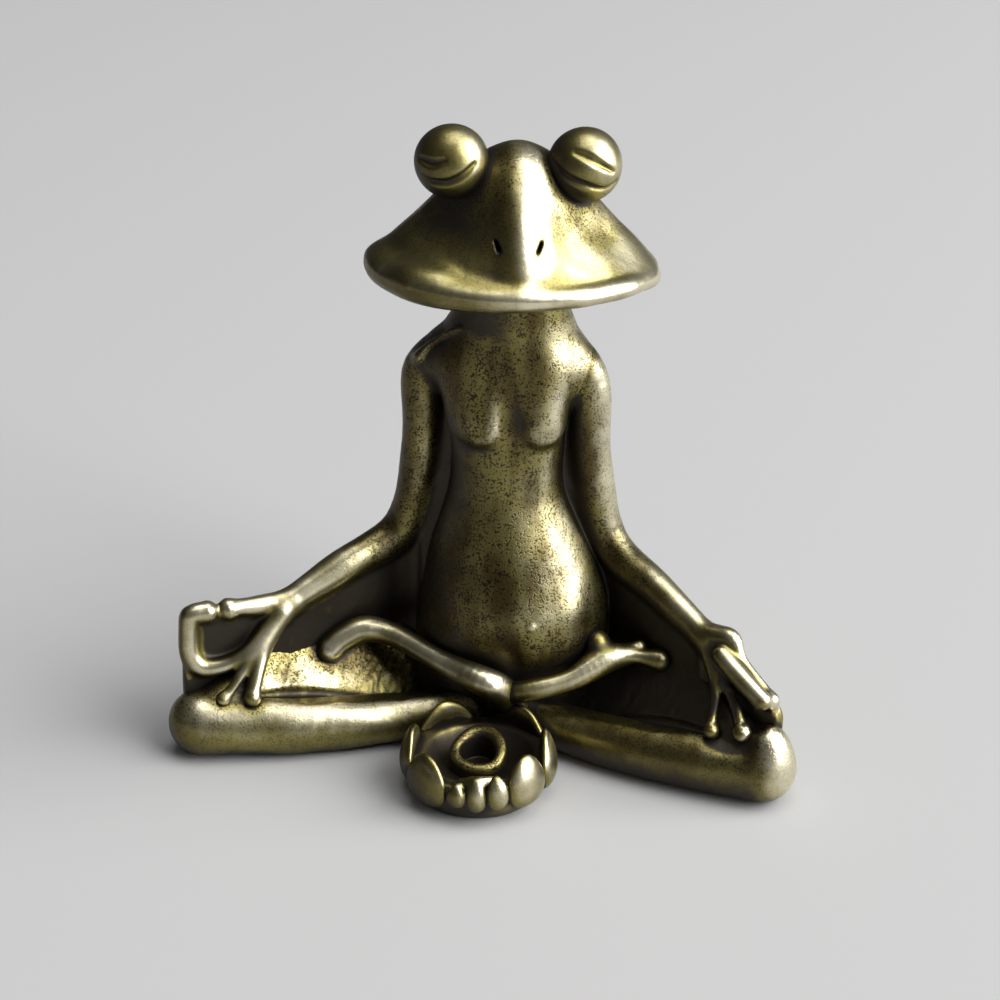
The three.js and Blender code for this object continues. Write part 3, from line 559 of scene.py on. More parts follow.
def leg_form(wax, side):
    """A leg: two rolls. The thigh is pared by a dented plane, height = top - slope * distance ahead of
    the thigh's axis, and the shin by a flat just under its crest. With it comes the grid of dull and painted
    shade: painted shade on the flats that the cuts laid bare and in the hollow. Below nought it is polished,
    and on the left knee's end it is a painted highlight."""
    thigh, shin, groove = (
        [[side * out + LEG_SHIFT, *rest] for out, *rest in path] for path in (THIGH, SHIN, GROOVE)
    )
    uncut, shin = wax.roll(thigh, steps=24), wax.roll(shin)
    axis = np.array([side * (KNEE[0] - HIP[0]), KNEE[1] - HIP[1]])
    axis = axis / np.hypot(*axis)
    ahead = side * (axis[1] * (wax.x - LEG_SHIFT - side * HIP[0]) - axis[0] * (wax.y - HIP[1]))
    plane = (wax.z - PARING_TOP + PARING_SLOPE * ahead) / math.hypot(1, PARING_SLOPE)
    thigh = trim(uncut, plane + np.float32(DENT) * knife_dents(wax), soft=0.35)
    out = side * (wax.x - LEG_SHIFT)
    crest = np.interp(out, *SHIN_CREST)
    middle = np.interp(out, *np.array([station[:2] for station in SHIN[::-1]]).T)
    flat = np.float32(FLAT_UP * (wax.z - crest + SHIN_PARING) + FLAT_BACK * (wax.y - middle))
    form = melt(thigh, trim(shin, flat, soft=0.1), soft=0.08)
    form = carve(form, wax.roll(groove), soft=0.2)
    # Painted shade on the shin's flat.
    dull_and_shade = np.clip(-FLAT_RISE * np.maximum(shin, -flat), 0, FLAT_SHADE) * (flat > -FLAT_MARGIN)
    if side < 0:
        dull_and_shade = np.where(dull_and_shade > 0, dull_and_shade, np.float32(RIGHT_LEG_POLISH))
    else:
        hollow = wax.ball(*KNEE_HOLLOW)
        form = carve(melt(form, wax.ball(*KNEE_MOUND), soft=0.6), hollow, soft=0.5)
        # Painted shade on the pared thigh.
        dull_and_shade = np.maximum(dull_and_shade, np.clip(-uncut, 0, PARED_SHADE))
        # Painted shade in the hollow under the fingers.
        dull_and_shade = np.maximum(dull_and_shade, np.clip(HOLLOW_REACH - np.abs(hollow), 0, HOLLOW_SHADE))
        # A painted highlight on the end of the knee.
        dull_and_shade = dull_and_shade + np.float32(np.interp(wax.x, *KNEE_HIGHLIGHT))
    return np.maximum(form, -wax.z), dull_and_shade


def pits_up_the_leg(points):
    """More pits are left towards the top."""
    return np.interp(points[:, 2], *LEG_PITS)


for name, side in SIDES.items():
    wax = sided_block(LEG_BLOCK, side, grain=0.12)
    form, dull_and_shade = leg_form(wax, side)
    cast(name + "_leg", wax, form, pitted=pits_up_the_leg, dull_and_shade=dull_and_shade)


# Feet: each foot lies over the other leg, rolled thin in the middle, with one long toe that ends in a
# round tip. The right one has two short toes beside it.

# Stations of foot and toes: x, y, z, half width and half height.
FEET = {
    "left": [
        [[1.4, -4.6, 3.2, 1.1], [0.6, -5.8, 5.0, 1.1], [-0.6, -6.3, 5.95, 1.0], [-3.4, -4.9, 6.3, 0.78],
         [-7.0, -2.8, 6.8, 0.8], [-9.0, -2.6, 7.05, 0.92], [-10.5, -3.2, 6.5, 0.95],
         [-11.2, -3.6, 5.9, 1.0]],
    ],
    "right": [
        [[0.4, -4.6, 3.4, 0.95], [1.4, -5.7, 4.75, 0.8], [2.6, -6.0, 5.25, 0.65, 0.75],
         [5.2, -5.1, 5.75, 0.65, 0.8], [7.3, -3.6, 6.7, 1.0], [8.6, -3.2, 6.9, 0.75],
         [9.6, -3.2, 6.9, 0.55], [11.0, -3.2, 6.75, 0.8]],
        [[7.2, -3.4, 6.8, 0.85], [6.8, -2.9, 7.6, 0.85]],
        [[8.6, -2.8, 6.9, 0.5], [9.6, -2.6, 7.4, 0.42]],
    ],
}
FOOT_MARGIN = 1.6
# Dullness of the right foot by x, and on the short toe that stands up; polish of the left foot.
HEEL_DULL = [1.5, 6], [0.32, 0.1]
SHORT_TOE_DULL = 0.4
SHORT_TOE_LOW = 7.5
SHORT_TOE_END = 8
LEFT_FOOT_POLISH = -0.15

for name, toes in FEET.items():
    places = np.array([station[:3] for toe in toes for station in toe])
    wax = Wax(places.min(axis=0) - FOOT_MARGIN, places.max(axis=0) + FOOT_MARGIN, grain=0.09)
    form = np.full(wax.shape, FAR, np.float32)
    for toe in toes:
        form = melt(form, wax.roll(toe), soft=0.4)
    dull_and_shade = LEFT_FOOT_POLISH
    if name == "right":
        short_toe = (wax.z > SHORT_TOE_LOW) & (wax.x < SHORT_TOE_END)
        dull_and_shade = np.where(short_toe, SHORT_TOE_DULL, np.interp(wax.x, *HEEL_DULL))
    cast(name + "_foot", wax, form, dull_and_shade=np.broadcast_to(np.float32(dull_and_shade), wax.shape))


# Head: a wide cap over the neck, with a thick lip round its front and sides, hollow cheeks, a blunt nose
# ridge from the crown to the lip and two nostril slits. It is turned a little to the frog's left and
# hides the neck's end.

HEAD_TURN = Matrix.Rotation(math.radians(9), 4, "Z")
HEAD_TILT = Matrix.Rotation(math.radians(1), 4, "Y")
HEAD_PLACE = Matrix.Translation((0.35, 0, 33.1)) @ HEAD_TURN @ HEAD_TILT
# Levels of the head above the lip: height, middle x and y, half width, reach forward, reach back, power.
HEAD_LEVELS = [
    [-1.6, 0, 0, 4.2, 3.8, 4.0, 2],
    [-1.0, 0, 0, 6.6, 5.4, 4.2, 2],
    [-0.5, 0, 0, 8.5, 6.8, 4.6, 2],
    [0.1, 0, 0, 9.2, 7.25, 4.8, 2],
    [0.9, 0, 0, 8.6, 6.65, 4.75, 1.7],
    [1.8, 0, 0, 7.8, 6.3, 4.65, 1.4],
    [2.8, 0, 0, 6.7, 5.85, 4.5, 1.2],
    [4.0, 0, 0, 5.6, 5.15, 4.2, 1.15],
    [5.2, 0, 0, 4.65, 4.3, 3.8, 1.25],
    [6.4, 0, 0, 4.0, 3.6, 3.4, 1.4],
    [8.8, 0, 0, 3.0, 2.6, 2.6, 1.8],
]
HEAD_FLOOR = -1.5
CROWN_TOP = 8.05
CROWN_ROUND = 2.4
NOSE_RIDGE = [
    [0, -1.0, 6.4, 0.75], [0, -1.7, 6.45, 0.8], [0, -2.81, 5.46, 0.85], [0, -3.66, 4.43, 0.9],
    [0, -4.56, 2.93, 0.95], [0, -5.24, 1.59, 0.95], [0, -5.75, 0.5, 0.9],
]
RIGHT_JOWL = (-5.2, -4.1, 0.45), (2.0, 1.6, 0.75), 25

wax = Wax((-9.9, -8.0, -1.9), (9.9, 5.4, 8.6), grain=0.105)
# The crown is round on top: height = top + round - root of (x^2 + y^2 + round^2).
crown = np.sqrt(wax.x ** 2 + wax.y ** 2 + CROWN_ROUND ** 2) - CROWN_ROUND
crown = wax.evened(wax.z - CROWN_TOP + crown)
form = trim(wax.stack(HEAD_LEVELS, blunt=0.4), crown, soft=0.8)
form = melt(form, wax.roll(NOSE_RIDGE, steps=12), soft=0.9)
form = melt(form, wax.ball(*RIGHT_JOWL), soft=1.0)

# The lip is a roll round the cap, by bearings from the front in degrees. On the left it is pinched: a bell
# curve draws it outward and down and thins it. Behind the sides it fades out.
LIP_BEARINGS = np.linspace(-125, 125, 26)
LIP_HALF = 8.65
LIP_FRONT = 6.75
LIP_BACK = 4.35
LIP_HEIGHT = 0.05
LIP_RADIUS = 0.56
PINCH_BEARING = 90
PINCH_SPREAD = 25
PINCH_OUT = 0.35
PINCH_DOWN = 0.5
PINCH_THIN = 0.16
LIP_FADING = [95, 125], [1, 0.3]
# Places across, and how softly the lip runs into the cap there.
LIP_SOFT = [-5, 3], [1.5, 0.3]
across, ahead = np.sin(np.radians(LIP_BEARINGS)), np.cos(np.radians(LIP_BEARINGS))
pinch = np.exp(-((LIP_BEARINGS - PINCH_BEARING) / PINCH_SPREAD) ** 2)
lip = np.stack([
    LIP_HALF * across + PINCH_OUT * pinch,
    -np.where(ahead > 0, LIP_FRONT, LIP_BACK) * ahead,
    LIP_HEIGHT - PINCH_DOWN * pinch,
    (LIP_RADIUS - PINCH_THIN * pinch) * np.interp(np.abs(LIP_BEARINGS), *LIP_FADING),
], axis=1)
form = melt(form, wax.roll(lip.tolist(), steps=2), soft=np.float32(np.interp(wax.x, *LIP_SOFT)))

# The left flank of the nose has a painted highlight in front. The nostrils are slits that spread upwards,
# with painted shade inside them.
FLANK_MIDDLE = 1.1
FLANK_HALF = 1.4
FLANK_HIGHLIGHT = -0.28
NOSTRIL = (1.3, -5.4, 2.95)
NOSTRIL_RISE = 0.22
NOSTRIL_SPREAD = 0.45
NOSTRIL_RADIUS = 0.13
NOSTRIL_DEPTH = 1.2
NOSTRIL_EDGE = 0.12
NOSTRIL_SHADE = 0.6
flank = np.clip(FLANK_HALF - np.abs(wax.x - FLANK_MIDDLE), 0, 1) * np.clip(-wax.y, 0, 1)
# A painted highlight on the left flank of the nose.
dull_and_shade = np.broadcast_to(np.float32(FLANK_HIGHLIGHT) * flank, wax.shape)
for side in SIDES.values():
    slit = wax.roll([
        [side * (NOSTRIL[0] + NOSTRIL_SPREAD * rise), NOSTRIL[1], NOSTRIL[2] + rise,
         NOSTRIL_RADIUS, NOSTRIL_DEPTH] for rise in (-NOSTRIL_RISE, NOSTRIL_RISE)
    ], BACKWARD)
    form = carve(form, slit, soft=0.05)
    # Painted shade inside the nostril.
    dull_and_shade = np.where(slit < NOSTRIL_EDGE, np.float32(NOSTRIL_SHADE), dull_and_shade)

EYE_OUT = 4.15
EYE_FRONT = -1
EYE_UP = 6.95
eye_seats = {name: Vector((side * EYE_OUT, EYE_FRONT, EYE_UP)) for name, side in SIDES.items()}
# Distances from the nearer eye, and the share of the pits that is left there.
SMUT = [2.6, 7.0], [ALL_PITS, 0.3]


def smut_round_eyes(points):
    """More of the pits and stains are left close to the eyes, where the rubbing can't reach."""
    eyes = [np.array(HEAD_PLACE @ seat) for seat in eye_seats.values()]
    apart = np.min([np.linalg.norm(points - eye, axis=1) for eye in eyes], axis=0)
    return np.interp(apart, *SMUT)


cast("head", wax, np.maximum(form, HEAD_FLOOR - wax.z), HEAD_PLACE, pitted=smut_round_eyes, dull_and_shade=dull_and_shade)


# Eyes: brass balls set into the brow. The closed lids are marked by two creases on each, pressed into the
# wax, and the whole ball stays a little dull.

EYE_RADIUS = 2.33
EYE_BLOCK = np.full(3, 2.6)
LID_DULL = 0.25
# Creases of the lids: places on the ball in degrees, to the viewer's right and above the level.
CREASES = {
    "left": [
        [(-24, 34), (-6, 30), (13, 21), (43, 3)],
        [(-73, 16), (-39, -2), (-5, -15), (31, -24), (56, -16)],
    ],
    "right": [
        [(-63, 12), (-35, 11), (-14, 18)],
        [(-50, -12), (-38, -18), (-9, -17), (17, -4), (37, 11)],
    ],
}
CREASE_END = 0.06
CREASE_SWELL = 0.13


def crease_over(places):
    """The path of a crease over the ball of the eye: radius * (cos rise sin turn, -cos rise cos turn,
    sin rise). It swells by half a sine wave from one end to the other."""
    turn, rise = np.radians(np.array(places, float)).T
    girth = CREASE_END + CREASE_SWELL * np.sin(np.linspace(0, np.pi, len(places)))
    across, ahead = np.cos(rise) * np.sin(turn), np.cos(rise) * np.cos(turn)
    path = EYE_RADIUS * np.stack([across, -ahead, np.sin(rise)])
    return np.vstack([path, girth]).T.tolist()


for name, seat in eye_seats.items():
    wax = Wax(-EYE_BLOCK, EYE_BLOCK, grain=0.07)
    form = wax.ball((0, 0, 0), (EYE_RADIUS, EYE_RADIUS, EYE_RADIUS))
    for places in CREASES[name]:
        form = carve(form, wax.roll(crease_over(places)), soft=0.3)
    lid = np.full(wax.shape, LID_DULL, np.float32)
    cast(name + "_eye", wax, form, HEAD_PLACE @ Matrix.Translation(seat), dull_and_shade=lid)


# Lotus: an open cup in front of the ankles, with thick petals laid round it. In the middle stands the tube
# for the stick, set on the floor of the cup. Its rim is dented and lower towards the viewer.

CUP_MIDDLE = np.array([-0.2, -10.05])
CUP_RIM = 2.7
# Outside of the cup: height and radius.
CUP_LEVELS = [
    [-0.5, 3.4], [0.0, 3.8], [0.4, 4.2], [1.0, 4.55], [1.8, 4.68], [2.8, 4.6], [3.6, 4.45], [4.6, 4.3],
]
CUP_HOLLOW = (*CUP_MIDDLE, 3.4), (3.9, 3.9, 2.0)
CUP_DULL = 0.3


def cup_radius(z):
    """Outside radius of the cup at a height: a full bowl that draws in at its foot and its rim."""
    rows = smooth_path(CUP_LEVELS, steps=8)
    return np.float32(np.interp(z, rows[:, 0], rows[:, 1]))


wax = Wax((-5.0, -14.9, -0.3), (4.6, -5.2, 3.6), grain=0.09)
radius = np.hypot(wax.x - CUP_MIDDLE[0], wax.y - CUP_MIDDLE[1])
bowl = wax.evened(radius - cup_radius(wax.z))
bowl = carve(bowl, wax.ball(*CUP_HOLLOW), soft=0.1)
bowl = np.maximum(trim(bowl, wax.z - CUP_RIM, soft=0.2), -wax.z)
cast("lotus_cup", wax, bowl, dull_and_shade=np.clip(cup_radius(wax.z) - radius, 0, CUP_DULL))

PETAL_RING = 4.5
PETAL_THICK = 0.52
PETAL_TAPER = 0.2
PETAL_HEART = 4.2
# Round its heart, each petal's block of wax has this reach, low end and room above the tip.
PETAL_REACH = 3.0
PETAL_LOW = 0.2
PETAL_ROOM = 0.5
# Petals: angle from the front, half angle, foot and tip heights.
PETALS = [
    (-142, 27, 0.5, 4.3), (146, 27, 0.5, 4.3), (-90, 25, 0.5, 4.2), (97, 25, 0.5, 4.4),
    (-42, 23, 0.5, 4.2), (52, 20, 0.6, 4.4), (6, 8.5, 1.0, 3.4), (22.5, 9.5, 1.1, 3.55),
]
# The front petal has a small one beside it and is curled over at its tip.
FRONT_PETAL = 7
SMALL_PETAL = (-9.5, 8, 1.3, 3.0)
FRONT_CURL = [[-0.8, -14.0, 2.7, 0.3], [0.2, -14.3, 3.0, 0.45], [1.2, -14.1, 3.15, 0.28]]


def petal_form(wax, angle, half, foot, tip):
    """A petal: an oval ball bent round the bowl. Its half sizes are measured along the wall, where they
    shrink to the tip, out from the wall and upwards."""
    turn = math.radians(angle)
    out = math.sin(turn), -math.cos(turn)
    dx, dy = wax.x - CUP_MIDDLE[0], wax.y - CUP_MIDDLE[1]
    radius = np.hypot(dx, dy)
    swing = np.arctan2(dx * out[1] - dy * out[0], dx * out[0] + dy * out[1])
    tall = (tip - foot) / 2
    up = wax.z - foot - tall
    wide = PETAL_RING * math.radians(half) * (1 - PETAL_TAPER * np.clip(up / tall, -1, 1))
    return oval((swing * PETAL_RING, radius - cup_radius(wax.z), up), (wide, PETAL_THICK, tall))


for number, petal in enumerate(PETALS, 1):
    turn = math.radians(petal[0])
    heart = CUP_MIDDLE + PETAL_HEART * np.array([math.sin(turn), -math.cos(turn)])
    low, high = (*(heart - PETAL_REACH), PETAL_LOW), (*(heart + PETAL_REACH), petal[3] + PETAL_ROOM)
    wax = Wax(low, high, grain=0.09)
    form = petal_form(wax, *petal)
    if number == FRONT_PETAL:
        form = melt(form, petal_form(wax, *SMALL_PETAL), soft=0.1)
        form = melt(form, wax.roll(FRONT_CURL), soft=0.25)
    cast(f"lotus_petal_{number}", wax, form)

# The tube: radius of its wall's middle, half the wall, and the height of its rim and how that leans.
SOCKET_RADIUS = 1.5
SOCKET_WALL = 0.36
SOCKET_TOP = 3.1
SOCKET_LEAN = 0.34
SOCKET_FOOT = 1.0
# Shallow dents round the wall: their number, depth and turn.
DENTS = 3
SOCKET_DENT = 0.05
DENT_TURN = 0.5
# The disc that closes the tube below has this radius and this top.
SOCKET_DISC = 1.6
DISC_TOP = 1.6
BORE_EDGE = 0.25
BORE_DULL = 0.6
SOCKET_DULL = 0.2
wax = Wax((-2.3, -12.2, 0.6), (1.9, -7.9, 4.2), grain=0.07)
dx, dy = wax.x - CUP_MIDDLE[0], wax.y - CUP_MIDDLE[1]
radius = np.hypot(dx, dy)
dented = SOCKET_RADIUS + SOCKET_DENT * np.cos(DENTS * np.arctan2(dx, dy) - DENT_TURN)
tube = trim(np.abs(radius - dented) - SOCKET_WALL, wax.z - SOCKET_TOP - SOCKET_LEAN * dy, soft=0.4)
disc = np.maximum(radius - SOCKET_DISC, wax.z - DISC_TOP)
form = np.maximum(np.minimum(tube, disc), SOCKET_FOOT - wax.z)
dull_and_shade = np.where(radius < dented - BORE_EDGE, np.float32(BORE_DULL), np.float32(SOCKET_DULL))
dull_and_shade = np.broadcast_to(dull_and_shade, wax.shape)
cast("stick_socket", wax, form, pitted=lambda points: ALL_PITS, dull_and_shade=dull_and_shade)


# Patina and painted light: the whole figure is blackened and then rubbed bright by hand. The dark stays in
# the hollows, and the high spots and edges shine. How much metal lies round a point tells which it is: about
# half on an even place, more in a hollow and less on an edge. How open a point lies to the sky gives painted
# shade where it is hemmed in, and which way it faces the key lamp gives painted light and shade.

METAL_GRAIN = 0.2
METAL_MARGIN = 3
BLUR_REACH = 2
lowest, highest = (np.array(corner) / MM for corner in cad_box)
metal = Wax(lowest - METAL_MARGIN, highest + METAL_MARGIN, METAL_GRAIN)
solid = np.zeros(metal.shape, np.float32)
for piece, wax, form, place in castings:
    corners = np.array([piece.matrix_world @ Vector(corner) for corner in piece.bound_box]) / MM
    window = metal.window(corners.min(axis=0) - METAL_GRAIN, corners.max(axis=0) + METAL_GRAIN)
    grid = np.stack(np.broadcast_arrays(*metal.columns(window)), axis=-1)
    inverse = np.array(place.inverted())
    inside = grid.reshape(-1, 3) @ inverse[:3, :3].T + inverse[:3, 3]
    distance = wax.sample(form, (inside - wax.low) / wax.grain).reshape(grid.shape[:3])
    solid[window] = np.maximum(solid[window], np.clip(0.5 - distance / METAL_GRAIN, 0, 1))


def blurred(grid, reach):
    """The mean of the grid over a box of that reach, worked out along one axis after the other and
    repeated, which comes near a round blur."""
    span = 2 * reach + 1
    for axis in (0, 1, 2) * 2:
        padded = np.pad(grid, [(reach + 1, reach) if k == axis else (0, 0) for k in range(3)], mode="edge")
        total = np.moveaxis(np.cumsum(padded, axis=axis, dtype=np.float64), axis, 0)
        grid = np.float32(np.moveaxis((total[span:] - total[:-span]) / span, 0, axis))
    return grid


near_metal = blurred(solid, BLUR_REACH)
solid[:, :, metal.z.ravel() < 0] = 1
RAY_START = 0.3
RAY_STOPS = (0.4, 0.8, 1.3, 2.0, 3.0, 4.4, 6.2)


# The finish paints shade where this openness is low.
def open_sky(points, normals):
    """How free a point lies: rays go out to fourteen sides from a little above the surface and stop in
    the metal or the ground. Each side counts as much as the surface faces it."""
    free = total = 0
    for side in np.ndindex(3, 3, 3):
        side = np.array(side) - 1
        if np.abs(side).sum() in (1, 3):
            side = side / np.linalg.norm(side)
            weight = np.maximum(normals @ side, 0)
            clear = np.ones(len(points))
            for reach in RAY_STOPS:
                places = points + RAY_START * normals + reach * side
                spots = np.rint((places - metal.low) / METAL_GRAIN).astype(int)
                clear *= 1 - solid[tuple(np.clip(spots, 0, np.array(metal.shape) - 1).T)]
            free = free + weight * clear
            total = total + weight
    return free / total


# The side of the key lamp: brass that faces it is painted lighter, brass that faces away is painted darker.
LAMP_SIDE = np.array([0.88, -0.2, 0.42])
for piece, *_ in castings:
    points, normals = np.zeros((2, 3 * len(piece.data.vertices)), np.float32)
    piece.data.vertices.foreach_get("co", points)
    piece.data.vertices.foreach_get("normal", normals)
    points, normals = points.reshape(-1, 3) / MM, normals.reshape(-1, 3)
    layers = {
        "near_metal": metal.sample(near_metal, (points - metal.low) / METAL_GRAIN),
        "open_sky": open_sky(points, normals),
        "lamp_facing": normals @ LAMP_SIDE,
    }
    for name, values in layers.items():
        piece.data.attributes.new(name, "FLOAT", "POINT").data.foreach_set("value", np.float32(values))


class Value:
    """A socket of a material. Python's operators on it add the Math nodes."""

    def __init__(self, finish, socket):
        self.finish, self.socket = finish, socket

    def math(self, operation, one, other):
        """Adds a Math node on two values."""
        return self.finish.node("ShaderNodeMath", {"operation": operation}, {0: one, 1: other})

    def __add__(self, other):
        return self.math("ADD", self, other)

    __radd__ = __add__

    def __mul__(self, other):
        return self.math("MULTIPLY", self, other)

    __rmul__ = __mul__

    def __sub__(self, other):
        return self.math("SUBTRACT", self, other)

    def __rsub__(self, other):
        return self.math("SUBTRACT", other, self)


class Finish:
    """A material and the one way in which its nodes are made."""

    def __init__(self, name):
        self.material = bpy.data.materials.new(name)
        self.material.use_nodes = True
        self.tree = self.material.node_tree
        self.tree.nodes.clear()

    def node(self, kind, settings, inputs, output=0):
        """Adds a node: first its settings, then the values or links of its sockets."""
        made = self.tree.nodes.new(kind)
        for name, value in settings.items():
            setattr(made, name, value)
        for name, value in inputs.items():
            if isinstance(value, Value):
                self.tree.links.new(value.socket, made.inputs[name])
            else:
                made.inputs[name].default_value = value
        return Value(self, made.outputs[output]) if made.outputs else None

    def ramp(self, value, low, high):
        """0 below low, 1 above high and a smooth rise between."""
        return self.node("ShaderNodeMapRange", {"interpolation_type": "SMOOTHSTEP"},
                         {"Value": value, "From Min": low, "From Max": high})

    def mix(self, share, one, other):
        """One colour where the share is 0, the other where it is 1."""
        return self.node("ShaderNodeMix", {"data_type": "RGBA"}, {"Factor": share, 6: one, 7: other},
                         output=2)

    def attribute(self, name):
        """A value that each point of the mesh carries."""
        return self.node("ShaderNodeAttribute", {"attribute_name": name}, {}, output=2)

    def noise(self, scale, detail, stretch=(1, 1, 1)):
        """Noise in the metal itself, with so many grains to the metre."""
        place = self.node("ShaderNodeTexCoord", {}, {}, output=3)
        place = self.node("ShaderNodeVectorMath", {"operation": "MULTIPLY"}, {0: place, 1: stretch})
        return self.node("ShaderNodeTexNoise", {}, {"Vector": place, "Scale": scale, "Detail": detail})


# Colours: polished brass, also the painted highlight; worn brass; painted shade on the side away from the
# key lamp; stains; black patina, also painted shade; soot in the pits.
POLISH_AND_HIGHLIGHT = (0.87, 0.805, 0.59, 1)
WORN = (0.31, 0.267, 0.092, 1)
SHADED_SIDE = (0.11, 0.091, 0.034, 1)
STAINED = (0.06, 0.038, 0.014, 1)
BLACK_PATINA_AND_SHADE = (0.054, 0.046, 0.037, 1)
SOOTY = (0.022, 0.017, 0.011, 1)
# What an even, open place that half faces the key lamp has: these leave the brass neither bright nor dark.
EVEN_METAL = 0.5
OPEN_PLACE = 0.85
HALF_FACING = 0.25
# How much an edge, an open place, the side facing the key lamp and the clouds count, and what slender and
# dull places lose. The open place and the lamp's side give painted light and shade.
EDGE_GAIN = 2
OPEN_GAIN = 0.35
LAMP_SIDE_GAIN = 0.3
CLOUD_GAIN = 0.4
SLENDER_LOSS = 0.6
DULL_AND_SHADE_LOSS = 0.45
SLENDER = 0.1, 0.3
# Ranges of brightness: from worn to polished and painted highlight, and from black patina and painted
# shade to bare.
BRIGHT = 0.1, 0.46
BARE = -0.22, 0.03
MOST_POLISH_AND_HIGHLIGHT = 0.88
# From painted shade on the side away from the key lamp to worn brass on the side that faces it.
SHADED_TO_LIT = -0.3, 0.6
# Noise: grains to the metre and detail.
CLOUDS = 400, 4
PITS = 7000, 5
PIT_FIELDS = 1500, 3
STAINS = 450, 3
RUB_WAVES = 800, 2
STAIN_RUN = (1, 1, 0.3)
# Where the noise turns into pits, where into stains, and how strongly the pits keep to fields.
PIT_RANGE = 0.49, 0.62
STAIN_RANGE = 0.4, 0.62
FIELD_GAIN = 0.35
# How far stains and pits cover the brass, and how much of the pits the polish takes away.
STAIN_COVER = 0.8
PIT_COVER = 0.9
PIT_LOSS = 0.75
# Full depth of the relief, and the shares of the waves and the pits in it.
RELIEF = 0.06 * MM
WAVE_RELIEF = 0.6
PIT_RELIEF = 0.1
# Roughness of worn brass, what the polish takes from it and the black patina and painted shade add, and
# the thin lacquer left.
ROUGH = 0.37
POLISH_SMOOTHS = 0.08
PATINA_AND_SHADE_ROUGHENS = 0.14
LACQUER = 0.08
LACQUER_ROUGH = 0.2


def brass_finish(name, darker):
    """Antique brass: blackened in the hollows, worn on even places and polished on edges, though less on
    slender forms. Painted shade darkens places hidden from the sky and the side away from the key lamp, and
    a painted highlight brightens the side that faces it. Small pits keep their soot, stains run down, and
    broad waves of the rubbing disturb the shine."""
    brass = Finish(name)
    near, sky = brass.attribute("near_metal"), brass.attribute("open_sky")
    side, pitted = brass.attribute("lamp_facing"), brass.attribute("pitted")
    edge = EVEN_METAL - near
    # Painted shade where the sky is hidden; painted light and shade by how a place faces the key lamp.
    lift = EDGE_GAIN * edge + OPEN_GAIN * (sky - OPEN_PLACE) + LAMP_SIDE_GAIN * (side - HALF_FACING)
    lift = lift + CLOUD_GAIN * (brass.noise(*CLOUDS) - 0.5)
    slender = brass.ramp(edge, *SLENDER)
    # Dull places and painted shade darken; polish and painted highlights brighten.
    lift = lift - SLENDER_LOSS * slender - DULL_AND_SHADE_LOSS * brass.attribute("dull_and_shade") - darker
    # Polish on edges, and a painted highlight on the side that faces the key lamp.
    high = MOST_POLISH_AND_HIGHLIGHT * brass.ramp(lift, *BRIGHT)
    patina_and_shade = 1 - brass.ramp(lift, *BARE)
    sown = FIELD_GAIN * (brass.noise(*PIT_FIELDS) - 0.5)
    pits = brass.ramp(brass.noise(*PITS) + sown, *PIT_RANGE) * pitted
    stain = brass.ramp(brass.noise(*STAINS, STAIN_RUN), *STAIN_RANGE) * pitted
    # Painted shade on the side away from the key lamp, worn brass on the side that faces it.
    side_lit = brass.mix(brass.ramp(side, *SHADED_TO_LIT), SHADED_SIDE, WORN)
    rubbed_and_lit = brass.mix(high, side_lit, POLISH_AND_HIGHLIGHT)
    smeared = brass.mix(STAIN_COVER * stain * (1 - high), rubbed_and_lit, STAINED)
    speckled = brass.mix(PIT_COVER * pits * (1 - PIT_LOSS * high), smeared, SOOTY)
    # Black patina in the hollows, and painted shade where the sky is hidden and on the side away from the
    # lamp.
    colour = brass.mix(patina_and_shade, speckled, BLACK_PATINA_AND_SHADE)
    height = WAVE_RELIEF * brass.noise(*RUB_WAVES) - PIT_RELIEF * pits
    relief = brass.node("ShaderNodeBump", {}, {"Strength": 1.0, "Distance": RELIEF, "Height": height})
    shader = brass.node("ShaderNodeBsdfPrincipled", {}, {
        "Base Color": colour, "Metallic": 1.0, "Normal": relief,
        "Roughness": ROUGH - POLISH_SMOOTHS * high + PATINA_AND_SHADE_ROUGHENS * patina_and_shade,
        "Coat Weight": LACQUER * (1 - patina_and_shade), "Coat Roughness": LACQUER_ROUGH,
    })
    brass.node("ShaderNodeOutputMaterial", {}, {"Surface": shader})
    return brass.material


CUP_DARKER = 0.03
bright_brass = brass_finish("antique_brass", darker=0.0)
dark_brass = brass_finish("dark_brass", darker=CUP_DARKER)
for piece, *_ in castings:
    piece.data.materials.append(dark_brass if "cup" in piece.name else bright_brass)


# Studio: a pale paper floor, a large soft lamp on the viewer's right, a weaker one overhead, and the
# camera at the photograph's angle.

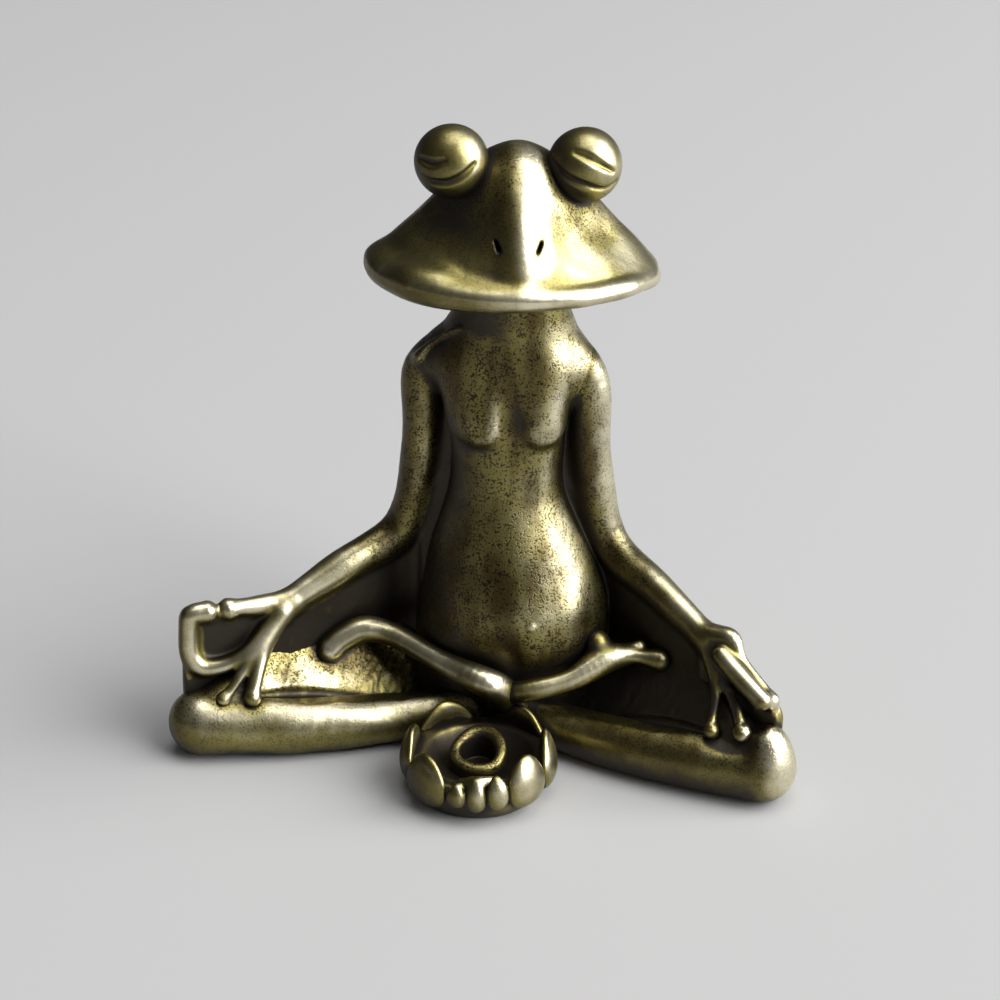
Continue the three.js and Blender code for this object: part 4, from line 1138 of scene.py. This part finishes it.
FLOOR_HALF = 1.5
PAPER = (0.44, 0.44, 0.44, 1)
mesh = bpy.data.meshes.new("floor")
corners = [(FLOOR_HALF * x, FLOOR_HALF * y, 0) for x, y in ((-1, -1), (1, -1), (1, 1), (-1, 1))]
mesh.from_pydata(corners, [], [(0, 1, 2, 3)])
floor = bpy.data.objects.new("floor", mesh)
bpy.context.scene.collection.objects.link(floor)
paper = Finish("pale_paper")
matt = paper.node("ShaderNodeBsdfDiffuse", {}, {"Color": PAPER})
paper.node("ShaderNodeOutputMaterial", {}, {"Surface": matt})
mesh.materials.append(paper.material)

LOOK_AT = Vector((-0.3, 0, 16.2)) * MM
# Lamps: name, place and size in metres, watts.
LAMPS = [
    ("key", (0.9, -0.15, 0.6), 1.2, 29.0),
    ("top", (0.12, 0.02, 1.2), 0.8, 6.0),
]
for name, place, size, watts in LAMPS:
    lamp = bpy.data.lights.new(name, "AREA")
    lamp.shape = "SQUARE"
    lamp.size = size
    lamp.energy = watts
    stand = bpy.data.objects.new(name, lamp)
    stand.location = place
    stand.rotation_euler = (LOOK_AT - Vector(place)).to_track_quat("-Z", "Y").to_euler()
    bpy.context.scene.collection.objects.link(stand)

ROOM_GREY = (0.5, 0.5, 0.5, 1)
ROOM_STRENGTH = 0.22
world = bpy.data.worlds.new("studio")
world.use_nodes = True
room = world.node_tree.nodes["Background"]
room.inputs["Color"].default_value = ROOM_GREY
room.inputs["Strength"].default_value = ROOM_STRENGTH
bpy.context.scene.world = world

AZIMUTH, ELEVATION, ROLL = (math.radians(angle) for angle in (7, 26, 1))
DISTANCE = 165 * MM
VIEW_WIDTH = 66.7 * MM
SENSOR = 36
NEAREST = 0.01
camera = bpy.data.cameras.new("camera")
camera.sensor_width = SENSOR
camera.lens = SENSOR * DISTANCE / VIEW_WIDTH
camera.clip_start = NEAREST
viewer = bpy.data.objects.new("camera", camera)
turn = Matrix.Rotation(AZIMUTH, 4, "Z") @ Matrix.Rotation(math.pi / 2 - ELEVATION, 4, "X")
back = Matrix.Translation((0, 0, DISTANCE)) @ Matrix.Rotation(ROLL, 4, "Z")
viewer.matrix_world = Matrix.Translation(LOOK_AT) @ turn @ back
bpy.context.scene.collection.objects.link(viewer)
bpy.context.scene.camera = viewer
bpy.context.scene.view_settings.view_transform = "Standard"
